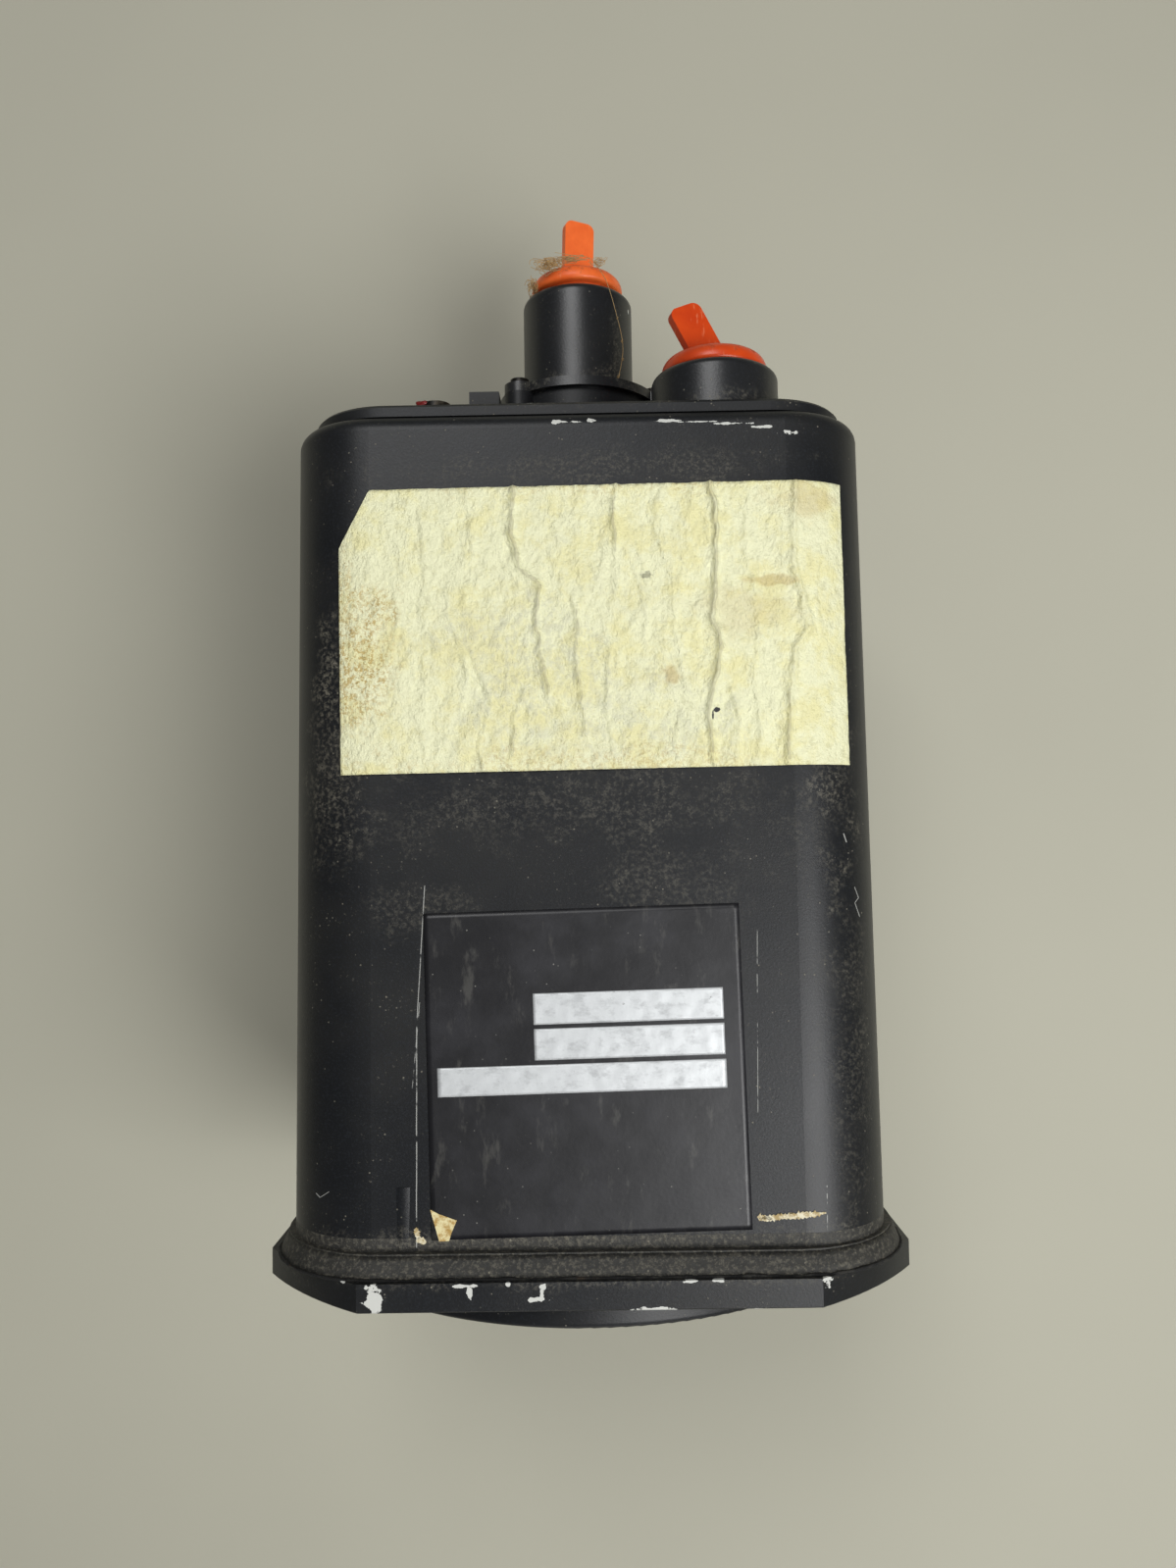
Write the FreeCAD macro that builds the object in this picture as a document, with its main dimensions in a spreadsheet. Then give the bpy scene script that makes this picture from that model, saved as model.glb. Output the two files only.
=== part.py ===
"""Vacuum-driven attitude indicator for a standard 3-1/8 inch instrument panel hole.

Millimetres. The origin is the centre of the flange's front face, which lies on the panel. The dial looks
towards -Y, the two air ports stand at the rear towards +Y, and +Z is the top side that carries the labels.
"""

import FreeCAD, Part
import os
import re
import Sketcher

Vector = FreeCAD.Vector
Rotation = FreeCAD.Rotation

ALONG_X = Rotation(Vector(0, 1, 0), 90)
ALONG_Y = Rotation(Vector(1, 0, 0), -90)
ALONG_Z = Rotation()

# ---------------------------------------------------------------- sizes

# A number is a size in millimetres, degrees or pieces. A text is a formula that ties a size to others.
SIZES = {
    "fits": {
        "thread_gap": 0.02,
        "pass_gap": 0.05,
        "hole_gap": 0.2,
        "screw_slot": 0.35,
        "slot_depth": 0.45,
    },
    "flange": {
        "flange_lip": 2.075,
        "flange_side": "2 * (case_half + band_out + flange_lip)",
        "corner_reach": 8.375,
        "flange_corner_radius": "flange_side / 2 + corner_reach",
        "flange_thick": 3.4,
        "flange_edge": 0.15,
        "panel_hole_inset": 6.72,
        "panel_hole_pitch": "2 * (case_half - panel_hole_inset)",
        "panel_thread_radius": 1.4,
        "panel_thread_depth": 10.0,
        "spigot_step": 1.875,
        "spigot_radius": "flange_side / 2 - spigot_step",
        "spigot_height": 2.98,
        "spigot_round": 0.8,
        "bezel_screw_inset": 2.95,
        "bezel_screw_out": "case_half - bezel_screw_inset",
        "bezel_screw_side": 22.5,
        "bezel_screw_radius": 1.1,
        "bezel_screw_head_radius": 2.0,
        "bezel_screw_head": 1.4,
        "bezel_screw_sink": 1.6,
        "bezel_screw_recess": 0.9,
        "bezel_recess_depth": 0.42,
        "bezel_screw_length": 10.0,
        "seal_thick": 0.35,
        "seal_recess": 0.5,
    },
    "glass": {
        "glass_rim": 2.8,
        "glass_radius": "spigot_radius - glass_rim",
        "glass_thick": 2.5,
        "glass_play": 0.2,
        "shelf_width": 4.0,
        "shelf_radius": "glass_radius - shelf_width",
        "shelf_front": 0.9,
        "glass_gasket_thick": 0.5,
        "gasket_inset": 1.2,
        "snap_ring_thick": 0.55,
        "snap_ring_bite": 0.55,
        "snap_ring_width": 1.7,
        "snap_ring_room": 0.1,
    },
    "case": {
        "case_half": 38.15,
        "case_corner": 11.8,
        "case_draft": 0.43,
        "case_rear": 110.0,
        "case_rear_round": 2.1,
        "band_out": 1.05,
        "band_corner": 14.2,
        "band_rear": 6.15,
        "case_wall": 2.8,
        "inner_half": "case_half - case_wall",
        "inner_corner": "case_corner - case_wall",
        "rear_lip": 2.6,
        "rear_ledge": 4.75,
        "rear_opening_half": "inner_half - rear_ledge",
        "corner_boss_radius": 4.4,
        "screw_boss_radius": 3.0,
        "front_boss_depth": 10.0,
        "rear_boss_depth": 12.0,
        "boss_floor": 1.5,
    },
    "rear cover": {
        "cover_gasket_thick": 0.3,
        "gasket_step": 0.6,
        "gasket_play": 0.3,
        "air_room": 0.4,
        "cover_inset": 2.75,
        "cover_half": "case_half - cover_inset",
        "cover_corner": 10.5,
        "cover_thick": 1.6,
        "cover_edge": 0.4,
        "cover_screw_inset": 2.8,
        "cover_screw_out": "cover_half - cover_screw_inset",
        "cover_screw_side": 18.3,
        "cover_screw_radius": 1.1,
        "cover_screw_head_radius": 1.9,
        "cover_screw_head": 0.8,
        "cover_screw_length": 10.0,
        "hub_radius": 11.6,
        "hub_height": 11.5,
        "hub_bore": 9.6,
        "blind_floor": 0.3,
        "lobe_radius": 2.3,
        "lobe_circle": 12.2,
        "lobe_angle": 136.5,
        "lug_side": 12.4,
        "lug_inset": 6.4,
        "lug_out": "cover_half - lug_inset",
        "lug_width": 4.0,
        "lug_depth": 5.0,
        "lug_height": 4.0,
    },
    "ports": {
        "port_radius": 8.57,
        "port_bore": 5.8,
        "port_round": 1.1,
        "inlet_flange_radius": 12.5,
        "inlet_flange_thick": 1.4,
        "inlet_length": 16.3,
        "inlet_throat": 4.0,
        "inlet_floor": 2.5,
        "port_screw_radius": 0.9,
        "port_screw_head_radius": 1.4,
        "port_screw_head": 0.9,
        "port_screw_length": 7.0,
        "filter_thick": 2.5,
        "retainer_thick": 0.8,
        "retainer_bore": 4.2,
        "vacuum_side_inset": 16.63,
        "vacuum_x": "cover_half - vacuum_side_inset",
        "vacuum_top_inset": 9.62,
        "vacuum_z": "cover_half - vacuum_top_inset",
        "vacuum_length": 6.3,
        "vacuum_spigot": 7.2,
        "fit_gap": 0.05,
    },
    "plugs": {
        "plug_flange_radius": 7.15,
        "plug_flange_thick": 2.7,
        "plug_skirt": 5.7,
        "plug_skirt_tip": 5.4,
        "plug_skirt_length": 7.0,
        "plug_hollow": 4.4,
        "plug_hollow_depth": 5.95,
        "plug_seat_gap": 0.05,
        "inlet_plug_proud": 1.2,
        "plug_top_round": 2.0,
        "plug_rim_round": 0.6,
        "tab_width": 4.9,
        "inlet_tab_height": 9.6,
        "vacuum_tab_height": 8.4,
        "tab_thick": 1.3,
        "tab_round": 1.2,
        "tab_root": 1.0,
        "inlet_tab_lean": -2.0,
        "vacuum_tab_lean": 27.0,
        "inlet_tab_twist": 24.0,
        "vacuum_tab_twist": 20.0,
    },
    "roll bearings": {
        "bearing_housing_front": 95.5,
        "bearing_housing_rear": 120.0,
        "housing_radius": 9.5,
        "housing_flange_radius": 15.0,
        "housing_flange_thick": 3.0,
        "housing_spacer_bore": 7.0,
        "housing_air_bore": 6.0,
        "bearing_bore": 4.0,
        "bearing_outer": 8.0,
        "bearing_width": 5.0,
        "race_outer_bore": 6.5,
        "race_inner_outer": 5.2,
        "ball_circle": 5.85,
        "ball_radius": 1.25,
        "ball_gap": 0.06,
        "ball_count": 7,
        "front_bearing": 97.0,
        "rear_bearing": 108.0,
        "housing_screw_circle": 12.6,
        "housing_screw_radius": 0.9,
        "housing_screw_head_radius": 1.6,
        "housing_screw_head": 1.2,
        "housing_screw_length": 4.2,
        "spacer_outer": 4.9,
    },
    "roll gimbal": {
        "arm_room": 5.35,
        "arm_inner": "inner_half - arm_room",
        "arm_thick": 3.5,
        "arm_half_height": 8.0,
        "arm_front": 12.0,
        "yoke_front": 84.0,
        "yoke_rear": 90.0,
        "yoke_chamfer": 8.0,
        "yoke_fillet": 4.0,
        "arm_slot_front": 52.0,
        "arm_slot_length": 24.0,
        "arm_slot_height": 7.0,
        "trunnion_flange_radius": 9.0,
        "trunnion_flange_thick": 3.0,
        "trunnion_shoulder": 4.9,
        "trunnion_bore": 2.5,
        "trunnion_end": 115.0,
        "trunnion_nut_radius": 5.7,
        "trunnion_nut_thick": 1.8,
        "trunnion_screw_circle": 6.9,
        "trunnion_screw_radius": 0.8,
        "trunnion_screw_head_radius": 1.4,
        "trunnion_screw_head": 1.1,
        "trunnion_screw_length": 7.0,
        "ring_past_arm": 3.0,
        "ring_outer": "arm_inner + ring_past_arm",
        "ring_width": 5.5,
        "ring_inner": "ring_outer - ring_width",
        "ring_thick": 3.0,
        "pointer_length": 3.6,
        "pointer_thick": 0.8,
        "pointer_half_width": 2.4,
        "pointer_root": 0.6,
        "ring_screw_inset": 1.2,
        "ring_screw_out": "arm_inner + ring_screw_inset",
        "ring_screw_side": 5.0,
        "ring_screw_radius": 0.8,
        "ring_screw_head_radius": 1.3,
        "ring_screw_head": 0.9,
        "ring_screw_length": 7.0,
        "roll_weight_radius": 4.0,
        "roll_weight_thick": 3.0,
        "roll_weight_out": 21.0,
    },
    "pitch gimbal": {
        "drum_room": 2.35,
        "drum_radius": "inner_half - drum_room",
        "drum_front": 7.0,
        "pitch_axis": "drum_radius + drum_front",
        "drum_wall": 1.2,
        "drum_side_room": 8.0,
        "drum_half_width": "arm_inner - drum_side_room",
        "drum_rear_cut": 20.0,
        "end_disc_thick": 1.2,
        "pitch_flange_radius": 6.0,
        "pitch_flange_thick": 1.5,
        "pitch_shaft_radius": 2.5,
        "pitch_shaft_bore": 1.2,
        "pitch_shaft_inset": 1.2,
        "pitch_shaft_recess": 0.3,
        "bushing_radius": 5.0,
        "running_gap": 0.04,
        "housing_side_room": 0.5,
        "rotor_housing_radius": "drum_half_width - housing_side_room",
        "rotor_housing_wall": 2.6,
        "rotor_housing_bore": "rotor_housing_radius - rotor_housing_wall",
        "rotor_housing_half": 14.0,
        "side_boss_radius": 7.0,
        "cap_thick": 2.0,
        "cap_spigot": 1.2,
        "cap_hub_radius": 6.2,
        "cap_hub_height": 6.0,
        "cap_screw_inset": 1.3,
        "cap_screw_circle": "rotor_housing_bore + cap_screw_inset",
        "cap_screw_radius": 0.7,
        "cap_screw_head_radius": 1.1,
        "cap_screw_head": 0.9,
        "cap_screw_length": 5.0,
        "spin_bearing_outer": 4.5,
        "spin_bearing_start": 14.6,
        "spin_bearing_width": 3.6,
        "balance_stud_radius": 1.2,
        "balance_stud_length": 10.5,
        "balance_stud_inset": 0.6,
        "balance_weight_radius": 7.0,
        "balance_weight_thick": 5.8,
        "balance_weight_gap": 2.0,
    },
    "rotor": {
        "rotor_room": 1.1,
        "rotor_radius": "rotor_housing_bore - rotor_room",
        "rotor_half": 7.5,
        "rotor_rim": 4.6,
        "rotor_web_half": 2.4,
        "rotor_hub_radius": 5.0,
        "rotor_hub_half": 9.0,
        "rotor_shaft_radius": 2.0,
        "rotor_shaft_half": 17.9,
        "bucket_depth": 1.7,
        "bucket_half_width": 0.95,
        "bucket_height": 9.0,
        "bucket_count": 24,
    },
    "vanes": {
        "vane_block_half": 6.0,
        "vane_block_height": 8.0,
        "vane_air_bore": 2.4,
        "vane_floor": 1.0,
        "lower_vane_length": 4.48,
        "vane_port_half": 1.3,
        "vane_port_height": 1.6,
        "vane_port_drop": 1.0,
        "vane_shaft_radius": 0.7,
        "vane_upper_drop": 1.9,
        "vane_lower_drop": 4.5,
        "vane_gap": 0.3,
        "vane_thick": 0.9,
        "vane_half_width": 3.2,
        "vane_length": 5.6,
        "vane_above": 1.0,
    },
    "dial and symbol": {
        "mask_thick": 1.0,
        "mask_inset": 1.6,
        "mask_outer": "glass_radius - mask_inset",
        "mask_width": 8.0,
        "mask_window": "mask_outer - mask_width",
        "mask_screw_inset": 1.0,
        "mask_screw_circle": "mask_outer - mask_screw_inset",
        "mask_screw_radius": 0.5,
        "mask_screw_head_radius": 0.95,
        "mask_screw_head": 0.7,
        "mask_screw_length": 2.4,
        "mask_screw_depth": 1.6,
        "symbol_gap": 0.3,
        "symbol_thick": 0.8,
        "symbol_half_span": 18.0,
        "symbol_half_height": 0.8,
        "symbol_dot": 1.9,
        "stem_half": 0.9,
        "jog_above_knob": 6.3,
        "jog_top": "knob_drop - jog_above_knob",
        "jog_height": 1.6,
        "rack_back": 3.9,
        "stem_width": 1.8,
        "rack_thick": 1.0,
        "rack_half_length": 3.3,
        "rack_root": 2.1,
    },
    "pitch adjuster": {
        "knob_inset": 3.1,
        "knob_drop": "shelf_radius - knob_inset",
        "knob_radius": 5.5,
        "knob_front": 13.0,
        "knob_rear": 4.2,
        "knob_round": 0.8,
        "knob_flute": 0.55,
        "flute_out": 0.25,
        "knob_flute_count": 20,
        "shaft_radius": 1.25,
        "shaft_room": 0.25,
        "set_screw_length": 3.0,
        "shaft_rear": 7.5,
        "shaft_end_room": 0.1,
        "shaft_front": 11.0,
        "bushing_flange_radius": 4.0,
        "bushing_flange_thick": 0.8,
        "bushing_shank": 2.2,
        "bushing_room": 0.1,
        "bushing_past_nut": 0.3,
        "bushing_nut_radius": 2.95,
        "bushing_nut_thick": 1.2,
        "set_screw_radius": 0.8,
        "pinion_pitch": 1.5,
        "pinion_outer": 1.88,
        "pinion_root": 1.15,
        "pinion_teeth": 8,
        "tooth_half": 0.26,
        "tooth_tip_half": 0.13,
        "rack_tip": 1.28,
        "guide_wall": 2.1,
        "guide_gap": 0.15,
        "guide_half_length": 4.4,
        "guide_plate_half": 2.4,
        "guide_plate_side": 2.8,
    },
}

doc = FreeCAD.newDocument("attitude_indicator")
sheet = doc.addObject("Spreadsheet::Sheet", "Sizes")
WORD = re.compile(r"\b[a-z][a-z_]+\b")
FUNCTIONS = {"sin", "cos", "sqrt"}


def fill_sheet():
    row = 1
    tied = []
    for group, values in SIZES.items():
        sheet.set(f"A{row}", group)
        row += 1
        for alias, value in values.items():
            sheet.set(f"A{row}", alias)
            sheet.set(f"B{row}", "0" if isinstance(value, str) else str(value))
            sheet.setAlias(f"B{row}", alias)
            if isinstance(value, str):
                tied.append((row, value))
            row += 1
    for row, text in tied:
        sheet.set(f"B{row}", "=" + text)
    doc.recompute()


def formula(text):
    """A formula in the sheet's aliases, as an expression that any object can use."""
    return WORD.sub(lambda m: m.group() if m.group() in FUNCTIONS else "Sizes." + m.group(), str(text))


def bind(item, **formulas):
    for prop, text in formulas.items():
        item.setExpression(prop.replace("__", "."), formula(text))
    return item


# ---------------------------------------------------------------- sub-parts

PIECES = []


def piece(item, label):
    """Registers an object as a sub-part of the instrument under its own name."""
    item.Label = label
    PIECES.append(item)
    return item


def place(item, x="0", y="0", z="0", turn=ALONG_Z):
    item.Placement = FreeCAD.Placement(Vector(), turn)
    for axis, text in (("x", x), ("y", y), ("z", z)):
        if text != "0":
            item.setExpression("Placement.Base." + axis, formula(text))
    return item


# ---------------------------------------------------------------- sketches and PartDesign features

PLANES = {"x": "YZ_Plane", "y": "XZ_Plane", "z": "XY_Plane"}


def new_body(name):
    return doc.addObject("PartDesign::Body", name)


def new_sketch(body, normal, offset="0"):
    """A sketch on the body's origin plane across an axis, moved along that plane's normal by offset.

    The normal of the XZ plane points to -Y, so there a place y is the offset -(y).
    """
    sketch = body.newObject("Sketcher::SketchObject", body.Name + "_sketch")
    plane = [f for f in body.Origin.OriginFeatures if f.Role == PLANES[normal]][0]
    sketch.AttachmentSupport = [(plane, "")]
    sketch.MapMode = "FlatFace"
    if offset != "0":
        sketch.setExpression("AttachmentOffset.Base.z", formula(offset))
    return sketch


def fix_point(sketch, geometry, end, x, y):
    for kind, text in (("DistanceX", x), ("DistanceY", y)):
        if text == "0" and kind == "DistanceX":
            sketch.addConstraint(Sketcher.Constraint("PointOnObject", geometry, end, -2))
        elif text == "0":
            sketch.addConstraint(Sketcher.Constraint("PointOnObject", geometry, end, -1))
        else:
            number = sketch.addConstraint(Sketcher.Constraint(kind, -1, 1, geometry, end, 1.0))
            sketch.setExpression(f"Constraints[{number}]", formula(text))


def polygon(sketch, points):
    """A closed outline of straight lines whose corners are held at formulas."""
    first = sketch.GeometryCount
    count = len(points)
    start = [Vector(10, 0, 0)]
    for _ in range(count - 1):
        start.append(Rotation(Vector(0, 0, 1), 360.0 / count).multVec(start[-1]))
    for i in range(count):
        sketch.addGeometry(Part.LineSegment(start[i], start[(i + 1) % count]))
    for i in range(count):
        sketch.addConstraint(Sketcher.Constraint("Coincident", first + i, 2, first + (i + 1) % count, 1))
    for i, (x, y) in enumerate(points):
        fix_point(sketch, first + i, 1, x, y)


def circle(sketch, x, y, radius):
    index = sketch.addGeometry(Part.Circle(Vector(1 + sketch.GeometryCount, 1, 0), Vector(0, 0, 1), 0.3))
    fix_point(sketch, index, 3, x, y)
    number = sketch.addConstraint(Sketcher.Constraint("Radius", index, 0.3))
    sketch.setExpression(f"Constraints[{number}]", formula(radius))


def rounded_square(sketch, half, corner):
    """A square about the origin with tangent corner arcs."""
    first = sketch.GeometryCount
    flat, reach, radius = 20.0, 30.0, 10.0
    turn = Rotation(Vector(0, 0, 1), 90)
    line = [Vector(-flat, reach, 0), Vector(flat, reach, 0)]
    centre = Vector(flat, flat, 0)
    for quarter in range(4):
        sketch.addGeometry(Part.LineSegment(*line))
        arc_start = 1.5707963 * (1 - quarter) - 1.5707963
        arc = Part.ArcOfCircle(Part.Circle(centre, Vector(0, 0, 1), radius), arc_start, arc_start + 1.5707963)
        sketch.addGeometry(arc)
        back = turn.inverted()
        line = [back.multVec(point) for point in line]
        centre = back.multVec(centre)
    for quarter in range(4):
        straight = first + 2 * quarter
        arc = straight + 1
        following = first + (2 * quarter + 2) % 8
        sketch.addConstraint(Sketcher.Constraint("Tangent", straight, 2, arc, 2))
        sketch.addConstraint(Sketcher.Constraint("Tangent", arc, 1, following, 1))
        if quarter:
            sketch.addConstraint(Sketcher.Constraint("Equal", first + 1, arc))
    for quarter, kind in enumerate(("Horizontal", "Vertical", "Horizontal", "Vertical")):
        sketch.addConstraint(Sketcher.Constraint(kind, first + 2 * quarter))
    sides = (("DistanceY", ""), ("DistanceX", ""), ("DistanceY", "-"), ("DistanceX", "-"))
    for quarter, (kind, sign) in enumerate(sides):
        wanted = -reach if sign else reach
        number = sketch.addConstraint(Sketcher.Constraint(kind, -1, 1, first + 2 * quarter, 1, wanted))
        sketch.setExpression(f"Constraints[{number}]", formula(f"{sign}({half})"))
    number = sketch.addConstraint(Sketcher.Constraint("Radius", first + 1, radius))
    sketch.setExpression(f"Constraints[{number}]", formula(corner))


def feature(body, kind, sketch=None, **settings):
    item = body.newObject("PartDesign::" + kind, body.Name + "_" + kind.lower())
    if sketch is not None:
        item.Profile = sketch
    for prop, setting in settings.items():
        if isinstance(setting, str) and prop not in ("Type", "SideType"):
            item.setExpression(prop, formula(setting))
        else:
            setattr(item, prop, setting)
    doc.recompute()
    return item


def turned(body, points, normal="z", kind="Revolution", angle=360.0):
    """A closed outline turned about the sketch's upright axis: local Y on the XY plane, Z on the XZ one."""
    sketch = new_sketch(body, normal)
    polygon(sketch, points)
    item = feature(body, kind, sketch, Angle=angle)
    item.ReferenceAxis = (sketch, ["V_Axis"])
    doc.recompute()
    return item


def pad_y(body, draw, y, length, **settings):
    """A pad that starts at y and runs towards +Y; draw fills its sketch."""
    sketch = new_sketch(body, "y", f"-({y})")
    draw(sketch)
    return feature(body, "Pad", sketch, Length=length, Reversed=True, **settings)


def pocket_y(body, draw, y, length):
    """A pocket that starts at y and runs towards +Y."""
    sketch = new_sketch(body, "y", f"-({y})")
    draw(sketch)
    return feature(body, "Pocket", sketch, Length=length)


def circles(places, radius):
    def draw(sketch):
        for x, z in places:
            circle(sketch, x, z, radius)
    return draw


def four_around(out, side):
    """Four places a quarter turn apart, the first at (-side, out)."""
    return [(f"-{side}", out), (out, side), (side, f"-{out}"), (f"-{out}", f"-{side}")]


def on_circle(radius, angles):
    return [(f"{radius} * cos({angle})", f"{radius} * sin({angle})") for angle in angles]


def edges_where(item, test):
    """Names of the edges whose middle passes the test."""
    names = []
    for number, edge in enumerate(item.Shape.Edges, 1):
        middle = edge.valueAt((edge.FirstParameter + edge.LastParameter) / 2)
        if test(middle, edge):
            names.append(f"Edge{number}")
    return names


def dressed(body, kind, size_name, size, test):
    """A fillet or chamfer on the body's edges that pass the test."""
    base = body.Tip
    names = edges_where(base, test)
    item = body.newObject("PartDesign::" + kind, body.Name + "_" + kind.lower())
    item.Base = (base, names)
    item.setExpression(size_name, formula(size))
    doc.recompute()
    return item


def size_of(alias):
    return float(sheet.get(alias))


# ---------------------------------------------------------------- Part primitives

def cylinder(radius, length, x="0", y="0", z="0", turn=ALONG_Y):
    item = doc.addObject("Part::Cylinder", "cylinder")
    bind(item, Radius=radius, Height=length)
    return place(item, x, y, z, turn)


def box(length, width, height, x, y, z, turn=ALONG_Z):
    item = doc.addObject("Part::Box", "box")
    bind(item, Length=length, Width=width, Height=height)
    return place(item, x, y, z, turn)


def sphere(radius, x="0", y="0", z="0"):
    item = doc.addObject("Part::Sphere", "sphere")
    bind(item, Radius=radius)
    return place(item, x, y, z)


def fuse(*items):
    item = doc.addObject("Part::MultiFuse", "fuse")
    item.Shapes = list(items)
    return item


def cut(base, *tools):
    item = doc.addObject("Part::Cut", "cut")
    item.Base = base
    item.Tool = tools[0] if len(tools) == 1 else fuse(*tools)
    return item


def common(*items):
    item = doc.addObject("Part::MultiCommon", "common")
    item.Shapes = list(items)
    return item


def group(items, label):
    """Like pieces that belong together, kept as separate solids of one sub-part."""
    item = doc.addObject("Part::Compound", label)
    item.Links = list(items)
    return piece(item, label)


def screw(x, y, z, size, reach, turn=ALONG_Y, towards=1):
    """A slotted screw. Its head's seat is at y (or at z along Z) and its shank points along towards."""
    head, head_radius, radius = f"{size}_head", f"{size}_head_radius", f"{size}_radius"
    slot_wide, slot_deep = "screw_slot", f"{head} * slot_depth"
    along_z = turn is ALONG_Z
    seat = z if along_z else y
    under, over = (seat, f"{seat} - {head}") if towards > 0 else (f"{seat} - {reach}", seat)
    outer = f"{over}" if towards > 0 else f"{over} + {head} - {slot_deep}"
    spot = (lambda place_: dict(x=x, y=y, z=place_)) if along_z else (lambda place_: dict(x=x, y=place_, z=z))
    shank = cylinder(radius, reach, turn=turn, **spot(under))
    cap = cylinder(head_radius, head, turn=turn, **spot(over))
    slot = spot(outer)
    half = f"{head_radius}"
    slot["x"] = f"{x} - {half}"
    cross = "y" if along_z else "z"
    slot[cross] = f"{slot[cross]} - {slot_wide} / 2"
    dims = ("2 * " + half, slot_wide, slot_deep) if along_z else ("2 * " + half, slot_deep, slot_wide)
    return fuse(shank, cut(cap, box(*dims, **slot)))


# ---------------------------------------------------------------- flange, glass and its retainers

PANEL_HOLES = [(f"{a}panel_hole_pitch / 2", f"{b}panel_hole_pitch / 2")
               for a, b in (("", ""), ("-", ""), ("-", "-"), ("", "-"))]
BEZEL_SCREWS = four_around("bezel_screw_out", "bezel_screw_side")
MASK_SCREW_ANGLES = (90, 210, 330)
CASE_FRONT = "flange_thick + seal_thick"
GLASS_REAR = "shelf_front - glass_gasket_thick"
GLASS_FRONT = f"{GLASS_REAR} - glass_thick"


def front_bezel():
    body = new_body("front_bezel")
    half = "flange_side / 2"
    corners = [(half, half), ("-" + half, half), ("-" + half, "-" + half), (half, "-" + half)]
    pad_y(body, lambda sketch: polygon(sketch, corners), "0", "flange_thick")
    trim, far = "flange_corner_radius", "flange_side"
    turned(body, [(trim, "-1"), (far, "-1"), (far, "flange_thick + 1"), (trim, "flange_thick + 1")],
           kind="Groove")
    dressed(body, "Chamfer", "Size", "flange_edge",
            lambda middle, edge: abs(middle.y) < 0.001 and max(abs(middle.x), abs(middle.z)) > 20)
    pad_y(body, circles([("0", "0")], "spigot_radius"), "-spigot_height", "spigot_height + flange_thick / 2")
    front = size_of("spigot_height")
    dressed(body, "Fillet", "Radius", "spigot_round", lambda middle, edge: abs(middle.y + front) < 0.001)
    seat, bite = "(glass_radius + glass_play)", "(glass_radius + glass_play + snap_ring_bite)"
    ring_front = f"{GLASS_FRONT} - snap_ring_thick - pass_gap"
    turned(body, [("0", "-spigot_height - 1"), (seat, "-spigot_height - 1"), (seat, ring_front),
                  (bite, ring_front), (bite, GLASS_FRONT), (seat, GLASS_FRONT), (seat, "shelf_front"),
                  ("shelf_radius", "shelf_front"), ("shelf_radius", "flange_thick + 1"),
                  ("0", "flange_thick + 1")], kind="Groove")
    pocket_y(body, circles(PANEL_HOLES, "panel_thread_radius"), "-1", "flange_thick + 2")
    pocket_y(body, circles(BEZEL_SCREWS, "bezel_screw_radius + fit_gap"), "-1", "flange_thick + 2")
    pocket_y(body, circles(BEZEL_SCREWS, "bezel_screw_head_radius + fit_gap"), "-1", "1 + bezel_screw_sink")
    screws = on_circle("mask_screw_circle", MASK_SCREW_ANGLES)
    pocket_y(body, circles(screws, "mask_screw_radius + thread_gap"), "flange_thick - mask_screw_depth",
             "mask_screw_depth + 1")
    piece(body, "front_bezel")


def square_ring(name, y, length, outer, outer_corner, inner, inner_corner):
    body = new_body(name)
    pad_y(body, lambda sketch: rounded_square(sketch, outer, outer_corner), y, length)
    pocket_y(body, lambda sketch: rounded_square(sketch, inner, inner_corner), f"{y} - 1", f"{length} + 2")
    return body


def bezel_seal():
    outer = "case_half + band_out - seal_recess"
    seal = square_ring("bezel_seal", "flange_thick", "seal_thick", outer, "band_corner",
                       "inner_half + hole_gap", "inner_corner")
    pocket_y(seal, circles(BEZEL_SCREWS, "bezel_screw_radius + hole_gap"), "flange_thick - 1",
             "seal_thick + 2")
    piece(seal, "bezel_seal")


def flat_head_screws():
    """Countersunk-style screws whose heads lie just under the flange's front face."""
    screws = []
    for x, z in BEZEL_SCREWS:
        top = "bezel_screw_sink - bezel_screw_head"
        head = cylinder("bezel_screw_head_radius", "bezel_screw_head", x, top, z)
        shank = cylinder("bezel_screw_radius", "bezel_screw_length", x, "bezel_screw_sink", z)
        recess = cylinder("bezel_screw_recess", "bezel_recess_depth + 1", x, f"{top} - 1", z)
        screws.append(cut(fuse(head, shank), recess))
    group(screws, "bezel_screws")


def glass_parts():
    hole = "bushing_shank + bushing_room"
    disc = cylinder("glass_radius", "glass_thick", "0", GLASS_FRONT, "0")
    drill = cylinder(hole, "glass_thick + 2", "0", f"{GLASS_FRONT} - 1", "-knob_drop")
    piece(cut(disc, drill), "glass")

    gasket = new_body("glass_gasket")
    turned(gasket, [("shelf_radius + gasket_inset", GLASS_REAR), ("glass_radius", GLASS_REAR),
                    ("glass_radius", "shelf_front"), ("shelf_radius + gasket_inset", "shelf_front")])
    piece(gasket, "glass_gasket")

    ring = new_body("glass_snap_ring")
    outer = "(glass_radius + glass_play + snap_ring_bite - snap_ring_room)"
    inner = f"{outer} - snap_ring_width"
    near, far = f"{GLASS_FRONT} - snap_ring_thick", GLASS_FRONT
    turned(ring, [(inner, near), (outer, near), (outer, far), (inner, far)], angle=345.0)
    piece(ring, "glass_snap_ring")


# ---------------------------------------------------------------- dial mask and airplane symbol

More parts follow.
